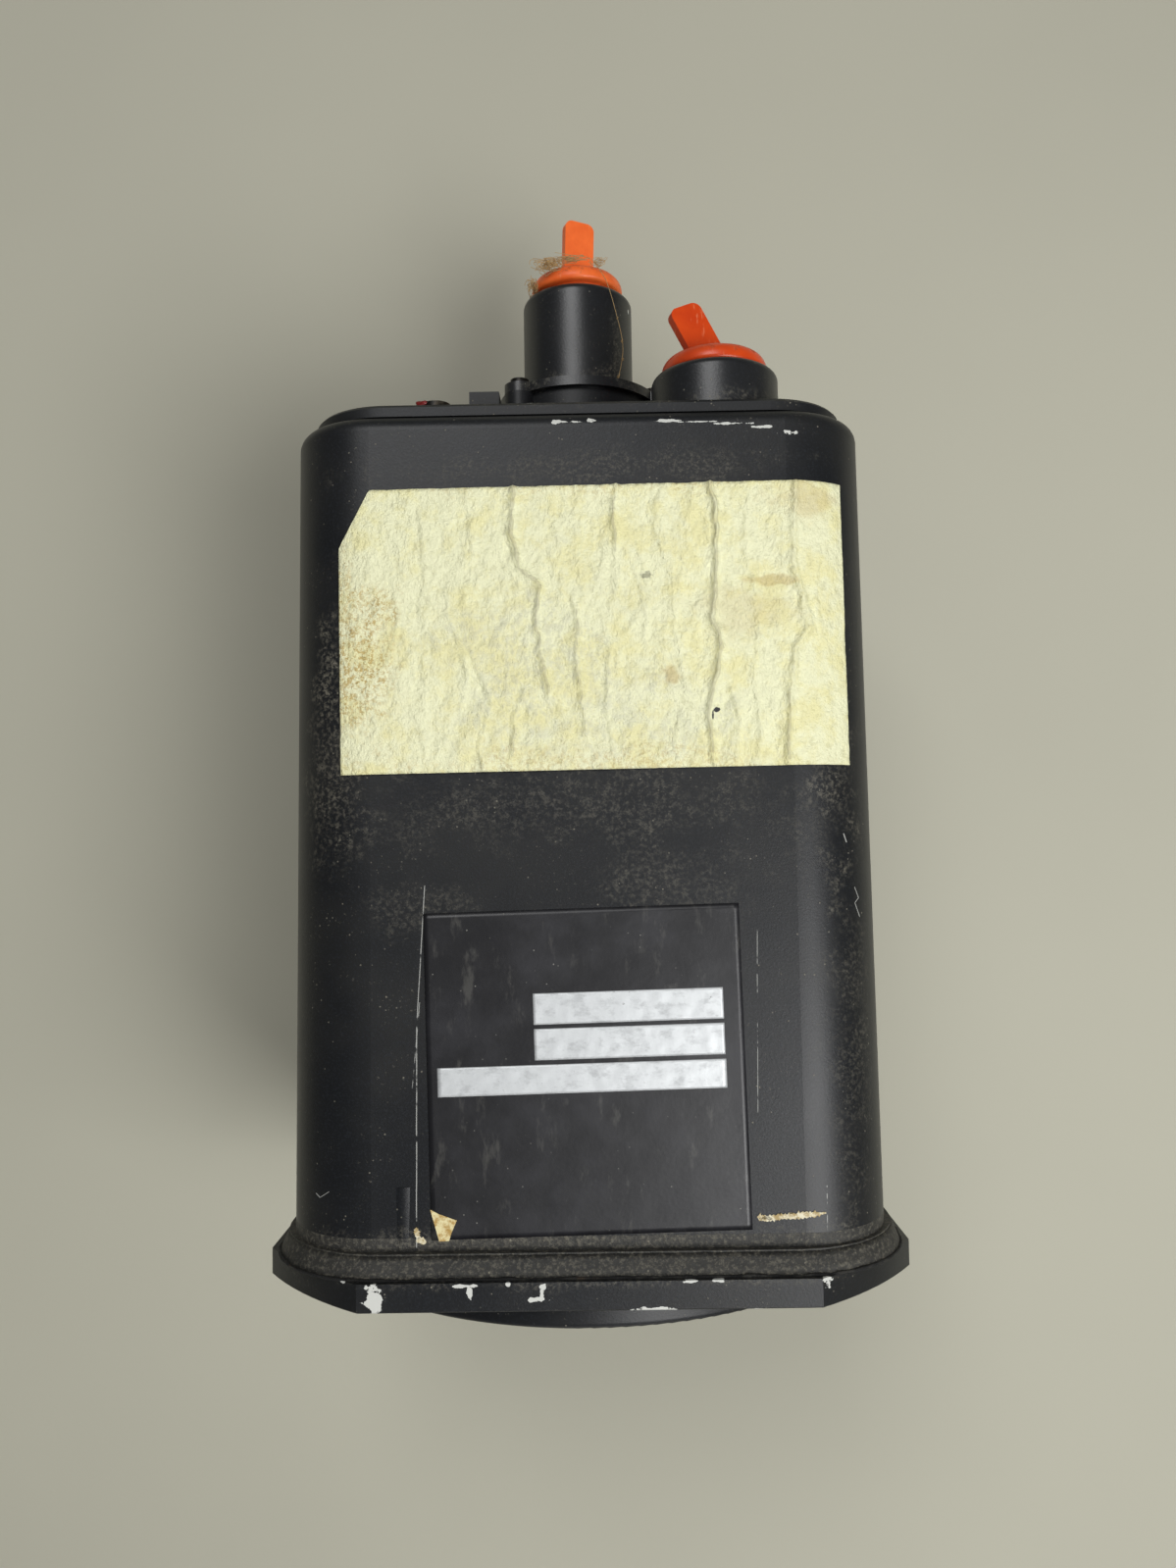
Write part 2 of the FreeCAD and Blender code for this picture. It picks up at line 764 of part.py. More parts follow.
MASK_REAR = "flange_thick + mask_thick"
SYMBOL_FRONT = f"{MASK_REAR} + symbol_gap"
SYMBOL_REAR = f"{SYMBOL_FRONT} + symbol_thick"
RACK_REAR = f"{SYMBOL_REAR} + rack_thick"
TOOTH_PITCH = "(2 * 3.14159265 * pinion_pitch / pinion_teeth)"
RACK_TEETH = (-1.5, -0.5, 0.5, 1.5)


def dial_mask():
    body = new_body("dial_mask")
    turned(body, [("mask_window", "flange_thick"), ("mask_outer", "flange_thick"), ("mask_outer", MASK_REAR),
                  ("mask_window", MASK_REAR)])
    pocket_y(body, circles([("0", "-knob_drop")], "shaft_radius + shaft_room"), "flange_thick - 1",
             "mask_thick + 2")
    screws = on_circle("mask_screw_circle", MASK_SCREW_ANGLES)
    pocket_y(body, circles(screws, "mask_screw_radius + pass_gap"), "flange_thick - 1", "mask_thick + 2")
    piece(body, "dial_mask")
    group([screw(x, MASK_REAR, z, "mask_screw", "mask_screw_length", towards=-1) for x, z in screws],
          "dial_mask_screws")


def airplane_symbol():
    body = new_body("airplane_symbol")
    span, wing, stem = "symbol_half_span", "symbol_half_height", "stem_half"
    jog_low = "(jog_top + jog_height)"
    end = "(knob_drop + rack_half_length)"

    def outline(sketch):
        polygon(sketch, [("-" + span, wing), ("-" + span, "-" + wing), ("-" + stem, "-" + wing),
                         ("-" + stem, "-jog_top"), ("-rack_back", "-jog_top"), ("-rack_back", "-" + end),
                         ("-rack_back + stem_width", "-" + end), ("-rack_back + stem_width", "-" + jog_low),
                         (stem, "-" + jog_low), (stem, "-" + wing), (span, "-" + wing), (span, wing)])

    pad_y(body, outline, SYMBOL_FRONT, "symbol_thick")
    pad_y(body, circles([("0", "0")], "symbol_dot"), SYMBOL_FRONT, "symbol_thick")
    piece(body, "airplane_symbol")


def airplane_rack():
    """A short rack on the stem's rear face, its teeth half a pitch off the pinion's middle tooth."""
    body = new_body("airplane_rack")
    end = "rack_half_length"

    def bar(sketch):
        polygon(sketch, [("-rack_back", f"{end} - knob_drop"), ("-rack_back", f"-{end} - knob_drop"),
                         ("-rack_root", f"-{end} - knob_drop"), ("-rack_root", f"{end} - knob_drop")])

    pad_y(body, bar, SYMBOL_REAR, "rack_thick")

    def teeth(sketch):
        for step in RACK_TEETH:
            middle = f"({TOOTH_PITCH} * {step} - knob_drop)"
            polygon(sketch, [("-rack_root", f"{middle} + tooth_half"),
                             ("-rack_root", f"{middle} - tooth_half"),
                             ("-rack_tip", f"{middle} - tooth_tip_half"),
                             ("-rack_tip", f"{middle} + tooth_tip_half")])

    pad_y(body, teeth, SYMBOL_REAR, "rack_thick")
    piece(body, "airplane_rack")


def airplane_guide():
    """A bracket on the mask's rear face: its wall backs the rack, its plate carries the shaft's end."""
    low = "-knob_drop - guide_half_length"
    wall_x = "-rack_back - guide_gap - guide_wall"
    plate_y = f"{RACK_REAR} + symbol_gap"
    plate_rear = "shaft_rear + shaft_end_room"
    wall = box("guide_wall", f"{plate_rear} - ({MASK_REAR})", "2 * guide_half_length", wall_x, MASK_REAR, low)
    plate = box("guide_wall + guide_gap + rack_back + guide_plate_side", f"{plate_rear} - ({plate_y})",
                "2 * guide_plate_half", wall_x, plate_y, "-knob_drop - guide_plate_half")
    hole = cylinder("shaft_radius + running_gap", "10", "0", "0", "-knob_drop")
    piece(cut(fuse(wall, plate), hole), "airplane_guide")


# ---------------------------------------------------------------- pitch adjuster

def adjuster():
    knob = new_body("knob_turned")
    place(knob, z="-knob_drop")
    turned(knob, [("0", "-knob_front"), ("knob_radius", "-knob_front"), ("knob_radius", "-knob_rear"),
                  ("shaft_radius", "-knob_rear"), ("shaft_radius", "-shaft_front - 0.05"),
                  ("0", "-shaft_front - 0.05")])
    front = size_of("knob_front")
    dressed(knob, "Fillet", "Radius", "knob_round", lambda middle, edge: abs(middle.y + front) < 0.001)
    flute = pocket_y(knob, circles([("knob_radius + flute_out", "0")], "knob_flute"), "-knob_front - 1",
                     "knob_front - knob_rear + 2")
    pattern = knob.newObject("PartDesign::PolarPattern", "knob_flutes")
    pattern.Originals = [flute]
    pattern.Axis = ([f for f in knob.Origin.OriginFeatures if f.Role == "Y_Axis"][0], [""])
    pattern.Angle = 360
    bind(pattern, Occurrences="knob_flute_count")
    knob.Tip = pattern
    doc.recompute()
    middle = "-(knob_front + knob_rear) / 2"
    hole = cylinder("set_screw_radius + thread_gap", "knob_radius + 1", "0", middle, "-knob_drop", ALONG_Z)
    piece(cut(knob, hole), "adjuster_knob")
    grub = cylinder("set_screw_radius", "set_screw_length", "0", middle, "-knob_drop + shaft_radius", ALONG_Z)
    piece(grub, "knob_set_screw")

    shaft = new_body("adjuster_shaft")
    place(shaft, z="-knob_drop")
    turned(shaft, [("0", "-shaft_front"), ("shaft_radius", "-shaft_front"), ("shaft_radius", SYMBOL_REAR),
                   ("pinion_root", SYMBOL_REAR), ("pinion_root", RACK_REAR), ("shaft_radius", RACK_REAR),
                   ("shaft_radius", "shaft_rear"), ("0", "shaft_rear")])

    def tooth(sketch):
        polygon(sketch, [("pinion_root - 0.3", "tooth_half"), ("pinion_root - 0.3", "-tooth_half"),
                         ("pinion_root", "-tooth_half"), ("pinion_outer", "-tooth_tip_half"),
                         ("pinion_outer", "tooth_tip_half"), ("pinion_root", "tooth_half")])

    first = pad_y(shaft, tooth, SYMBOL_REAR, "rack_thick")
    pattern = shaft.newObject("PartDesign::PolarPattern", "pinion_teeth")
    pattern.Originals = [first]
    pattern.Axis = ([f for f in shaft.Origin.OriginFeatures if f.Role == "Y_Axis"][0], [""])
    pattern.Angle = 360
    bind(pattern, Occurrences="pinion_teeth")
    shaft.Tip = pattern
    doc.recompute()
    piece(shaft, "adjuster_shaft")

    bushing = new_body("knob_bushing")
    place(bushing, z="-knob_drop")
    bore = "shaft_radius + running_gap"
    turned(bushing, [(bore, f"{GLASS_FRONT} - bushing_flange_thick"),
                     ("bushing_flange_radius", f"{GLASS_FRONT} - bushing_flange_thick"),
                     ("bushing_flange_radius", GLASS_FRONT), ("bushing_shank", GLASS_FRONT),
                     ("bushing_shank", f"{GLASS_REAR} + bushing_nut_thick + bushing_past_nut"),
                     (bore, f"{GLASS_REAR} + bushing_nut_thick + bushing_past_nut")])
    piece(bushing, "knob_bushing")

    nut = new_body("knob_bushing_nut")
    place(nut, z="-knob_drop")
    corners = on_circle("bushing_nut_radius", range(0, 360, 60))
    pad_y(nut, lambda sketch: polygon(sketch, corners), GLASS_REAR, "bushing_nut_thick")
    pocket_y(nut, circles([("0", "0")], "bushing_shank + thread_gap"), "-1", "3")
    piece(nut, "knob_bushing_nut")


# ---------------------------------------------------------------- case and rear cover

HOUSING_SCREW_ANGLES = (30, 150, 270)
COVER_SCREWS = four_around("cover_screw_out", "cover_screw_side")
COVER_FRONT = "case_rear + cover_gasket_thick"
COVER_REAR = f"{COVER_FRONT} + cover_thick"
HUB_REAR = f"{COVER_REAR} + hub_height"
LOBES = on_circle("lobe_circle", [f"lobe_angle + {turn}" for turn in (0, 120, 240)])


def case_shell():
    body = new_body("case_shell")
    depth = f"case_rear - ({CASE_FRONT})"
    pad_y(body, lambda sketch: rounded_square(sketch, "case_half", "case_corner"), CASE_FRONT, depth,
          TaperAngle="-case_draft")
    rear = size_of("case_rear")
    dressed(body, "Fillet", "Radius", "case_rear_round", lambda middle, edge: abs(middle.y - rear) < 0.001)
    pad_y(body, lambda sketch: rounded_square(sketch, "case_half + band_out", "band_corner"),
          CASE_FRONT, f"band_rear - ({CASE_FRONT})")
    pocket_y(body, lambda sketch: rounded_square(sketch, "inner_half", "inner_corner"), f"{CASE_FRONT} - 1",
             f"{depth} - rear_lip + 1")
    pocket_y(body, lambda sketch: rounded_square(sketch, "rear_opening_half", "inner_corner"),
             "case_rear - rear_lip - 1", "rear_lip + 2")
    pad_y(body, circles(PANEL_HOLES, "corner_boss_radius"), CASE_FRONT, "front_boss_depth")
    pad_y(body, circles(BEZEL_SCREWS, "screw_boss_radius"), CASE_FRONT, "front_boss_depth")
    pad_y(body, circles(COVER_SCREWS, "screw_boss_radius"), "case_rear - rear_boss_depth",
          "rear_boss_depth - rear_lip / 2")
    pocket_y(body, circles(PANEL_HOLES, "panel_thread_radius"), CASE_FRONT,
             f"panel_thread_depth - ({CASE_FRONT})")
    pocket_y(body, circles(BEZEL_SCREWS, "bezel_screw_radius + thread_gap"), CASE_FRONT,
             "front_boss_depth - boss_floor")
    pocket_y(body, circles(COVER_SCREWS, "cover_screw_radius + thread_gap"),
             "case_rear - rear_boss_depth + boss_floor",
             "rear_boss_depth")
    pocket_y(body, circles([("vacuum_x", "vacuum_z")], "port_bore + air_room"), "case_rear - rear_lip - 1",
             "rear_lip + 2")
    piece(body, "case_shell")


def rear_cover():
    body = new_body("rear_cover")
    pad_y(body, lambda sketch: rounded_square(sketch, "cover_half", "cover_corner"), COVER_FRONT,
          "cover_thick")
    rear = size_of("case_rear") + size_of("cover_gasket_thick") + size_of("cover_thick")
    dressed(body, "Chamfer", "Size", "cover_edge", lambda middle, edge: abs(middle.y - rear) < 0.001)
    pad_y(body, circles([("0", "0")], "hub_radius"), COVER_REAR, "hub_height")
    pad_y(body, circles(LOBES, "lobe_radius"), COVER_REAR, "hub_height")

    def lug(sketch):
        left, right = "-lug_side - lug_width / 2", "-lug_side + lug_width / 2"
        polygon(sketch, [(left, "lug_out"), (left, "lug_out - lug_depth"), (right, "lug_out - lug_depth"),
                         (right, "lug_out")])

    pad_y(body, lug, COVER_REAR, "lug_height")
    pocket_y(body, circles([("0", "0")], "hub_bore"), "case_rear", "hub_height + 5")
    pocket_y(body, circles(COVER_SCREWS, "cover_screw_radius + hole_gap"), "case_rear", "cover_thick + 2")
    pocket_y(body, circles([("vacuum_x", "vacuum_z")], "vacuum_spigot + fit_gap"), "case_rear",
             "cover_thick + 2")
    pocket_y(body, circles(LOBES, "port_screw_radius + thread_gap"), f"{HUB_REAR} - port_screw_length", "10")
    screws = on_circle("housing_screw_circle", HOUSING_SCREW_ANGLES)
    pocket_y(body, circles(screws, "housing_screw_radius + thread_gap"), "case_rear",
             "cover_gasket_thick + cover_thick - blind_floor")
    piece(body, "rear_cover")

    gasket = square_ring("rear_cover_gasket", "case_rear", "cover_gasket_thick", "cover_half - gasket_step",
                         "cover_corner", "rear_opening_half + gasket_play", "inner_corner")
    pocket_y(gasket, circles(COVER_SCREWS, "cover_screw_radius + hole_gap"), "case_rear - 1", "3")
    pocket_y(gasket, circles([("vacuum_x", "vacuum_z")], "vacuum_spigot + gasket_play"), "case_rear - 1", "3")
    piece(gasket, "rear_cover_gasket")
    group([screw(x, COVER_REAR, z, "cover_screw", "cover_screw_length", towards=-1) for x, z in COVER_SCREWS],
          "rear_cover_screws")


# ---------------------------------------------------------------- ports and plugs

def inlet_port():
    body = new_body("inlet_port")
    tip = f"{HUB_REAR} + inlet_flange_thick + inlet_length"
    foot = f"{HUB_REAR} + inlet_flange_thick"
    floor = f"{foot} + inlet_floor"
    turned(body, [("inlet_throat", HUB_REAR), ("inlet_flange_radius", HUB_REAR),
                  ("inlet_flange_radius", foot), ("port_radius", foot), ("port_radius", tip),
                  ("port_bore", tip), ("port_bore", floor), ("inlet_throat", floor)])
    height = sum(size_of(name) for name in ("case_rear", "cover_gasket_thick", "cover_thick", "hub_height",
                                            "inlet_flange_thick", "inlet_length"))
    outer = size_of("port_radius")
    dressed(body, "Fillet", "Radius", "port_round",
            lambda middle, edge: abs(middle.y - height) < 0.001 and edge.Curve.Radius > outer - 0.01)
    pad_y(body, circles(LOBES, "lobe_radius"), HUB_REAR, "inlet_flange_thick")
    pocket_y(body, circles(LOBES, "port_screw_radius + pass_gap"), f"{HUB_REAR} - 1",
             "inlet_flange_thick + 2")
    piece(body, "inlet_port")
    group([screw(x, foot, z, "port_screw", "port_screw_length", towards=-1) for x, z in LOBES],
          "inlet_port_screws")
    piece(cylinder("port_bore - thread_gap", "filter_thick", "0", floor, "0"), "inlet_filter")
    ring = cylinder("port_bore - thread_gap", "retainer_thick", "0", f"{floor} + filter_thick", "0")
    hole = cylinder("retainer_bore", "retainer_thick + 2", "0", f"{floor} + filter_thick - 1", "0")
    piece(cut(ring, hole), "filter_retainer")
    return tip


def vacuum_port():
    body = new_body("vacuum_port")
    place(body, x="vacuum_x", z="vacuum_z")
    tip = f"{COVER_REAR} + vacuum_length"
    turned(body, [("port_bore", f"{COVER_FRONT} + 0.05"), ("vacuum_spigot", f"{COVER_FRONT} + 0.05"),
                  ("vacuum_spigot", COVER_REAR), ("port_radius", COVER_REAR), ("port_radius", tip),
                  ("port_bore", tip)])
    height = sum(size_of(name) for name in ("case_rear", "cover_gasket_thick", "cover_thick",
                                            "vacuum_length"))
    outer = size_of("port_radius")
    dressed(body, "Fillet", "Radius", "port_round",
            lambda middle, edge: abs(middle.y - height) < 0.001 and edge.Curve.Radius > outer - 0.01)
    piece(body, "vacuum_port")
    return tip


def plug(label, x, z, tip, proud, tall, lean, twist):
    """A push-in cap with a flat pull tab that leans from the port's axis and is twisted about it."""
    body = new_body(label + "_body")
    place(body, x=x, y=tip, z=z)
    under, top = proud, f"{proud} + plug_flange_thick"
    inside = "plug_hollow_depth"
    turned(body, [("0", top), ("plug_flange_radius", top), ("plug_flange_radius", under),
                  ("plug_skirt", under), ("plug_skirt_tip", "-plug_skirt_length"),
                  ("plug_hollow", "-plug_skirt_length"), ("plug_hollow", f"-plug_skirt_length + {inside}"),
                  ("0", f"-plug_skirt_length + {inside}")])
    rim, low = size_of("plug_flange_radius"), size_of(proud)
    high = low + size_of("plug_flange_thick")
    for level, size in ((high, "plug_top_round"), (low, "plug_rim_round")):
        dressed(body, "Fillet", "Radius", size,
                lambda middle, edge: abs(middle.y - level) < 0.001
                and abs((middle.x ** 2 + middle.z ** 2) ** 0.5 - rim) < 0.01)
    half, height = "tab_width / 2", f"{tall} + tab_root"
    tab = new_body(label + "_tab")
    sketch = new_sketch(tab, "z")
    polygon(sketch, [("-" + half, "0"), (half, "0"), (half, height), ("-" + half, height)])
    feature(tab, "Pad", sketch, Length="tab_thick", Midplane=True)
    reach = (size_of(tall) + size_of("tab_root")) * 0.9
    dressed(tab, "Fillet", "Radius", "tab_round",
            lambda middle, edge: middle.y > reach and abs(abs(middle.x) - size_of("tab_width") / 2) < 0.001
            and abs(middle.z) < 0.001)
    place(tab, x=x, y=f"{tip} + {top} - tab_root", z=z)
    leaning = Rotation(Vector(0, 0, 1), size_of(lean))
    tab.Placement.Rotation = leaning.multiply(Rotation(Vector(0, 1, 0), size_of(twist)))
    piece(fuse(body, tab), label)


# ---------------------------------------------------------------- roll bearings

BEARINGS = ("front_bearing", "rear_bearing")


def rear_bearing_housing():
    body = new_body("rear_bearing_housing")
    flange_front = f"{COVER_FRONT} - housing_flange_thick"
    front, rear = "bearing_housing_front", "bearing_housing_rear"
    seat = "bearing_outer + thread_gap"
    turned(body, [(seat, front), ("housing_radius", front), ("housing_radius", flange_front),
                  ("housing_flange_radius", flange_front), ("housing_flange_radius", COVER_FRONT),
                  ("housing_radius", COVER_FRONT), ("housing_radius", rear), ("housing_air_bore", rear),
                  ("housing_air_bore", "rear_bearing + bearing_width"),
                  (seat, "rear_bearing + bearing_width"),
                  (seat, "rear_bearing"), ("housing_spacer_bore", "rear_bearing"),
                  ("housing_spacer_bore", "front_bearing + bearing_width"),
                  (seat, "front_bearing + bearing_width")])
    screws = on_circle("housing_screw_circle", HOUSING_SCREW_ANGLES)
    pocket_y(body, circles(screws, "housing_screw_radius + pass_gap"), f"{flange_front} - 1",
             "housing_flange_thick + 2")
    piece(body, "rear_bearing_housing")
    group([screw(x, flange_front, z, "housing_screw", "housing_screw_length") for x, z in screws],
          "bearing_housing_screws")


def race(inner, outer, y):
    """A bearing ring with a ball track half way along."""
    ring = cut(cylinder(outer, "bearing_width", "0", y, "0"),
               cylinder(inner, "bearing_width + 2", "0", f"{y} - 1", "0"))
    track = doc.addObject("Part::Torus", "track")
    bind(track, Radius1="ball_circle", Radius2="ball_radius + ball_gap")
    place(track, y=f"{y} + bearing_width / 2", turn=ALONG_Y)
    return cut(ring, track)


def roll_bearings():
    group([race("race_outer_bore", "bearing_outer", y) for y in BEARINGS], "roll_bearing_outer_races")
    group([race("bearing_bore + thread_gap", "race_inner_outer", y) for y in BEARINGS],
          "roll_bearing_inner_races")
    balls = []
    count = int(size_of("ball_count"))
    for y in BEARINGS:
        for x, z in on_circle("ball_circle", [f"{n} * 360 / ball_count" for n in range(count)]):
            balls.append(sphere("ball_radius", x, f"{y} + bearing_width / 2", z))
    group(balls, "roll_bearing_balls")
    spacer = new_body("roll_bearing_spacer")
    turned(spacer, [("bearing_bore + thread_gap", "front_bearing + bearing_width"),
                    ("spacer_outer", "front_bearing + bearing_width"), ("spacer_outer", "rear_bearing"),
                    ("bearing_bore + thread_gap", "rear_bearing")])
    piece(spacer, "roll_bearing_spacer")


# ---------------------------------------------------------------- roll gimbal

TRUNNION_SCREW_ANGLES = (45, 135, 225, 315)
RING_SCREWS = [(f"{a}ring_screw_out", f"{b}ring_screw_side") for a in ("", "-") for b in ("", "-")]


def roll_fork():
    body = new_body("roll_fork")
    inner, outer = "arm_inner", "(arm_inner + arm_thick)"
    slope = "(arm_inner + arm_thick - yoke_chamfer)"
    sketch = new_sketch(body, "z")
    polygon(sketch, [("-" + outer, "arm_front"), ("-" + inner, "arm_front"), ("-" + inner, "yoke_front"),
                     (inner, "yoke_front"), (inner, "arm_front"), (outer, "arm_front"),
                     (outer, "yoke_rear - yoke_chamfer"), (slope, "yoke_rear"), ("-" + slope, "yoke_rear"),
                     ("-" + outer, "yoke_rear - yoke_chamfer")])
    feature(body, "Pad", sketch, Length="2 * arm_half_height", Midplane=True)
    inside, front = size_of("arm_inner"), size_of("yoke_front")
    dressed(body, "Fillet", "Radius", "yoke_fillet",
            lambda middle, edge: abs(abs(middle.x) - inside) < 0.01 and abs(middle.y - front) < 0.01)
    sketch = new_sketch(body, "x")
    circle(sketch, "pitch_axis", "0", "bushing_radius + thread_gap")
    feature(body, "Pocket", sketch, Type="ThroughAll", Midplane=True)
    sketch = new_sketch(body, "x")
    low, high = "-arm_slot_height / 2", "arm_slot_height / 2"
    end = "arm_slot_front + arm_slot_length"
    polygon(sketch, [("arm_slot_front", low), (end, low), (end, high), ("arm_slot_front", high)])
    feature(body, "Pocket", sketch, Type="ThroughAll", Midplane=True)
    pocket_y(body, circles([("0", "0")], "trunnion_bore"), "yoke_front - 1", "10")
    screws = on_circle("trunnion_screw_circle", TRUNNION_SCREW_ANGLES)
    pocket_y(body, circles(screws, "trunnion_screw_radius + thread_gap"), "yoke_front + 1", "10")
    pocket_y(body, circles(RING_SCREWS, "ring_screw_radius + thread_gap"), "arm_front - 1", "7")
    piece(body, "roll_fork")


def roll_trunnion():
    body = new_body("roll_trunnion")
    flange_rear = "yoke_rear + trunnion_flange_thick"
    turned(body, [("trunnion_bore", "yoke_rear"), ("trunnion_flange_radius", "yoke_rear"),
                  ("trunnion_flange_radius", flange_rear), ("trunnion_shoulder", flange_rear),
                  ("trunnion_shoulder", "front_bearing"), ("bearing_bore", "front_bearing"),
                  ("bearing_bore", "trunnion_end"), ("trunnion_bore", "trunnion_end")])
    screws = on_circle("trunnion_screw_circle", TRUNNION_SCREW_ANGLES)
    pocket_y(body, circles(screws, "trunnion_screw_radius + pass_gap"), "yoke_rear - 1",
             "trunnion_flange_thick + 2")
    piece(body, "roll_trunnion")
    group([screw(x, flange_rear, z, "trunnion_screw", "trunnion_screw_length", towards=-1)
           for x, z in screws], "trunnion_screws")

    nut = new_body("trunnion_nut")
    corners = on_circle("trunnion_nut_radius", range(0, 360, 60))
    pad_y(nut, lambda sketch: polygon(sketch, corners), "rear_bearing + bearing_width", "trunnion_nut_thick")
    pocket_y(nut, circles([("0", "0")], "bearing_bore + thread_gap"), "rear_bearing", "bearing_width + 5")
    piece(nut, "trunnion_nut")


def roll_ring():
    body = new_body("roll_ring")
    front = "arm_front - ring_thick"
    turned(body, [("ring_inner", front), ("ring_outer", front), ("ring_outer", "arm_front"),
                  ("ring_inner", "arm_front")])

    def pointer(sketch):
        root = "(ring_inner + pointer_root)"
        polygon(sketch, [("-pointer_half_width", root), ("0", "ring_inner - pointer_length"),
                         ("pointer_half_width", root)])

    pad_y(body, pointer, front, "pointer_thick")
    pocket_y(body, circles(RING_SCREWS, "ring_screw_radius + pass_gap"), f"{front} - 1", "ring_thick + 2")
    piece(body, "roll_ring")
    group([screw(x, front, z, "ring_screw", "ring_screw_length") for x, z in RING_SCREWS], "roll_ring_screws")
    group([cylinder("roll_weight_radius", "roll_weight_thick", f"{sign}roll_weight_out", "yoke_rear", "0")
           for sign in ("", "-")], "roll_balance_weights")


def pitch_bushings():
    rings = []
    for start in ("arm_inner", "-arm_inner - arm_thick"):
        ring = cylinder("bushing_radius", "arm_thick", start, "pitch_axis", "0", ALONG_X)
        hole = cylinder("pitch_shaft_radius + running_gap", "arm_thick + 2", f"{start} - 1", "pitch_axis",
                        "0", ALONG_X)
        rings.append(cut(ring, hole))
    group(rings, "pitch_bushings")


# ---------------------------------------------------------------- pitch gimbal

CAP_SCREW_ANGLES = (45, 135, 225, 315)


def horizon_drum():
    outer = sphere("drum_radius", y="pitch_axis")
    inner = sphere("drum_radius - drum_wall", y="pitch_axis")
    width = box("2 * drum_half_width", "drum_radius + drum_rear_cut", "2 * drum_radius + 2",
                "-drum_half_width", "drum_front - 0.01", "-drum_radius - 1")
    piece(cut(common(outer, width), inner), "horizon_drum")
    discs = []
    radius = "sqrt(drum_radius * drum_radius - drum_half_width * drum_half_width)"
    for start in ("drum_half_width", "-drum_half_width - end_disc_thick"):
        disc = cylinder(radius, "end_disc_thick", start, "pitch_axis", "0", ALONG_X)
        hole = cylinder("pitch_shaft_radius + pass_gap", "end_disc_thick + 2", f"{start} - 1", "pitch_axis",
                        "0", ALONG_X)
        discs.append(cut(disc, hole))
    group(discs, "drum_end_discs")


def pitch_trunnions():
    items = []
    disc = "(drum_half_width + end_disc_thick)"
    start = f"({disc} - pitch_shaft_inset - end_disc_thick)"
    end = "(arm_inner + arm_thick - pitch_shaft_recess)"
    for side in (1, -1):
        flange_x = disc if side > 0 else f"-{disc} - pitch_flange_thick"
        shaft_x = start if side > 0 else f"-{end}"
        length = f"{end} - {start}"
        flange = cylinder("pitch_flange_radius", "pitch_flange_thick", flange_x, "pitch_axis", "0", ALONG_X)
        shaft = cylinder("pitch_shaft_radius", length, shaft_x, "pitch_axis", "0", ALONG_X)
        bore = cylinder("pitch_shaft_bore", f"{length} + 2", f"{shaft_x} - 1", "pitch_axis", "0", ALONG_X)
        items.append(cut(fuse(flange, shaft), bore))
    group(items, "pitch_trunnions")


def rotor_housing():
    half = "rotor_housing_half"
    ring = cylinder("rotor_housing_radius", f"2 * {half}", "0", "pitch_axis", f"-{half}", ALONG_Z)
    boss = cylinder("side_boss_radius", "2 * drum_half_width", "-drum_half_width", "pitch_axis", "0", ALONG_X)
    bore = cylinder("rotor_housing_bore", f"2 * {half} + 2", "0", "pitch_axis", f"-{half} - 1", ALONG_Z)
    shaft = cylinder("pitch_shaft_radius + pass_gap", "2 * drum_half_width + 2", "-drum_half_width - 1",
                     "pitch_axis", "0", ALONG_X)
    stud = cylinder("balance_stud_radius + thread_gap", "rotor_housing_wall + 2", "0",
                    "pitch_axis + rotor_housing_bore - 1", "0")
    screws = [cylinder("cap_screw_radius + thread_gap", f"2 * {half} + 2", f"{x}", f"pitch_axis + {y}",
                       f"-{half} - 1", ALONG_Z) for x, y in on_circle("cap_screw_circle", CAP_SCREW_ANGLES)]
    piece(cut(fuse(ring, boss), bore, shaft, stud, *screws), "rotor_housing")


def rotor_caps():
    """Two like caps close the rotor housing and hold the spin bearings in their hubs."""
    half, hub = "rotor_housing_half", "rotor_housing_half + cap_hub_height"
    for label, turn in (("housing_top_cap", 0), ("housing_bottom_cap", 180)):
        body = new_body(label)
        seat = "spin_bearing_outer + thread_gap"
        inner = f"{half} - cap_spigot"
        stop = "spin_bearing_start + spin_bearing_width"
        spigot = "rotor_housing_bore - pass_gap"
        turned(body, [(seat, inner), (spigot, inner), (spigot, half),
                      ("rotor_housing_radius", half), ("rotor_housing_radius", f"{half} + cap_thick"),
                      ("cap_hub_radius", f"{half} + cap_thick"), ("cap_hub_radius", hub),
                      ("vane_air_bore", hub), ("vane_air_bore", stop), (seat, stop)], normal="y")
        sketch = new_sketch(body, "z", half)
        for x, y in on_circle("cap_screw_circle", CAP_SCREW_ANGLES):
            circle(sketch, x, y, "cap_screw_radius + pass_gap")
        feature(body, "Pocket", sketch, Length="cap_thick + 1", Reversed=True)
        place(body, y="pitch_axis", turn=Rotation(Vector(1, 0, 0), turn))
        piece(body, label)
    screws = []
    for x, y in on_circle("cap_screw_circle", CAP_SCREW_ANGLES):
        for towards, seat in ((-1, f"{half} + cap_thick"), (1, f"-{half} - cap_thick")):
            screws.append(screw(x, f"pitch_axis + {y}", seat, "cap_screw", "cap_screw_length", ALONG_Z,
                                towards))
    group(screws, "cap_screws")
    rings = []
    for start in ("spin_bearing_start", "-spin_bearing_start - spin_bearing_width"):
        ring = cylinder("spin_bearing_outer", "spin_bearing_width", "0", "pitch_axis", start, ALONG_Z)
        hole = cylinder("rotor_shaft_radius + running_gap", "spin_bearing_width + 2", "0", "pitch_axis",
                        f"{start} - 1", ALONG_Z)
        rings.append(cut(ring, hole))
    group(rings, "spin_bearings")


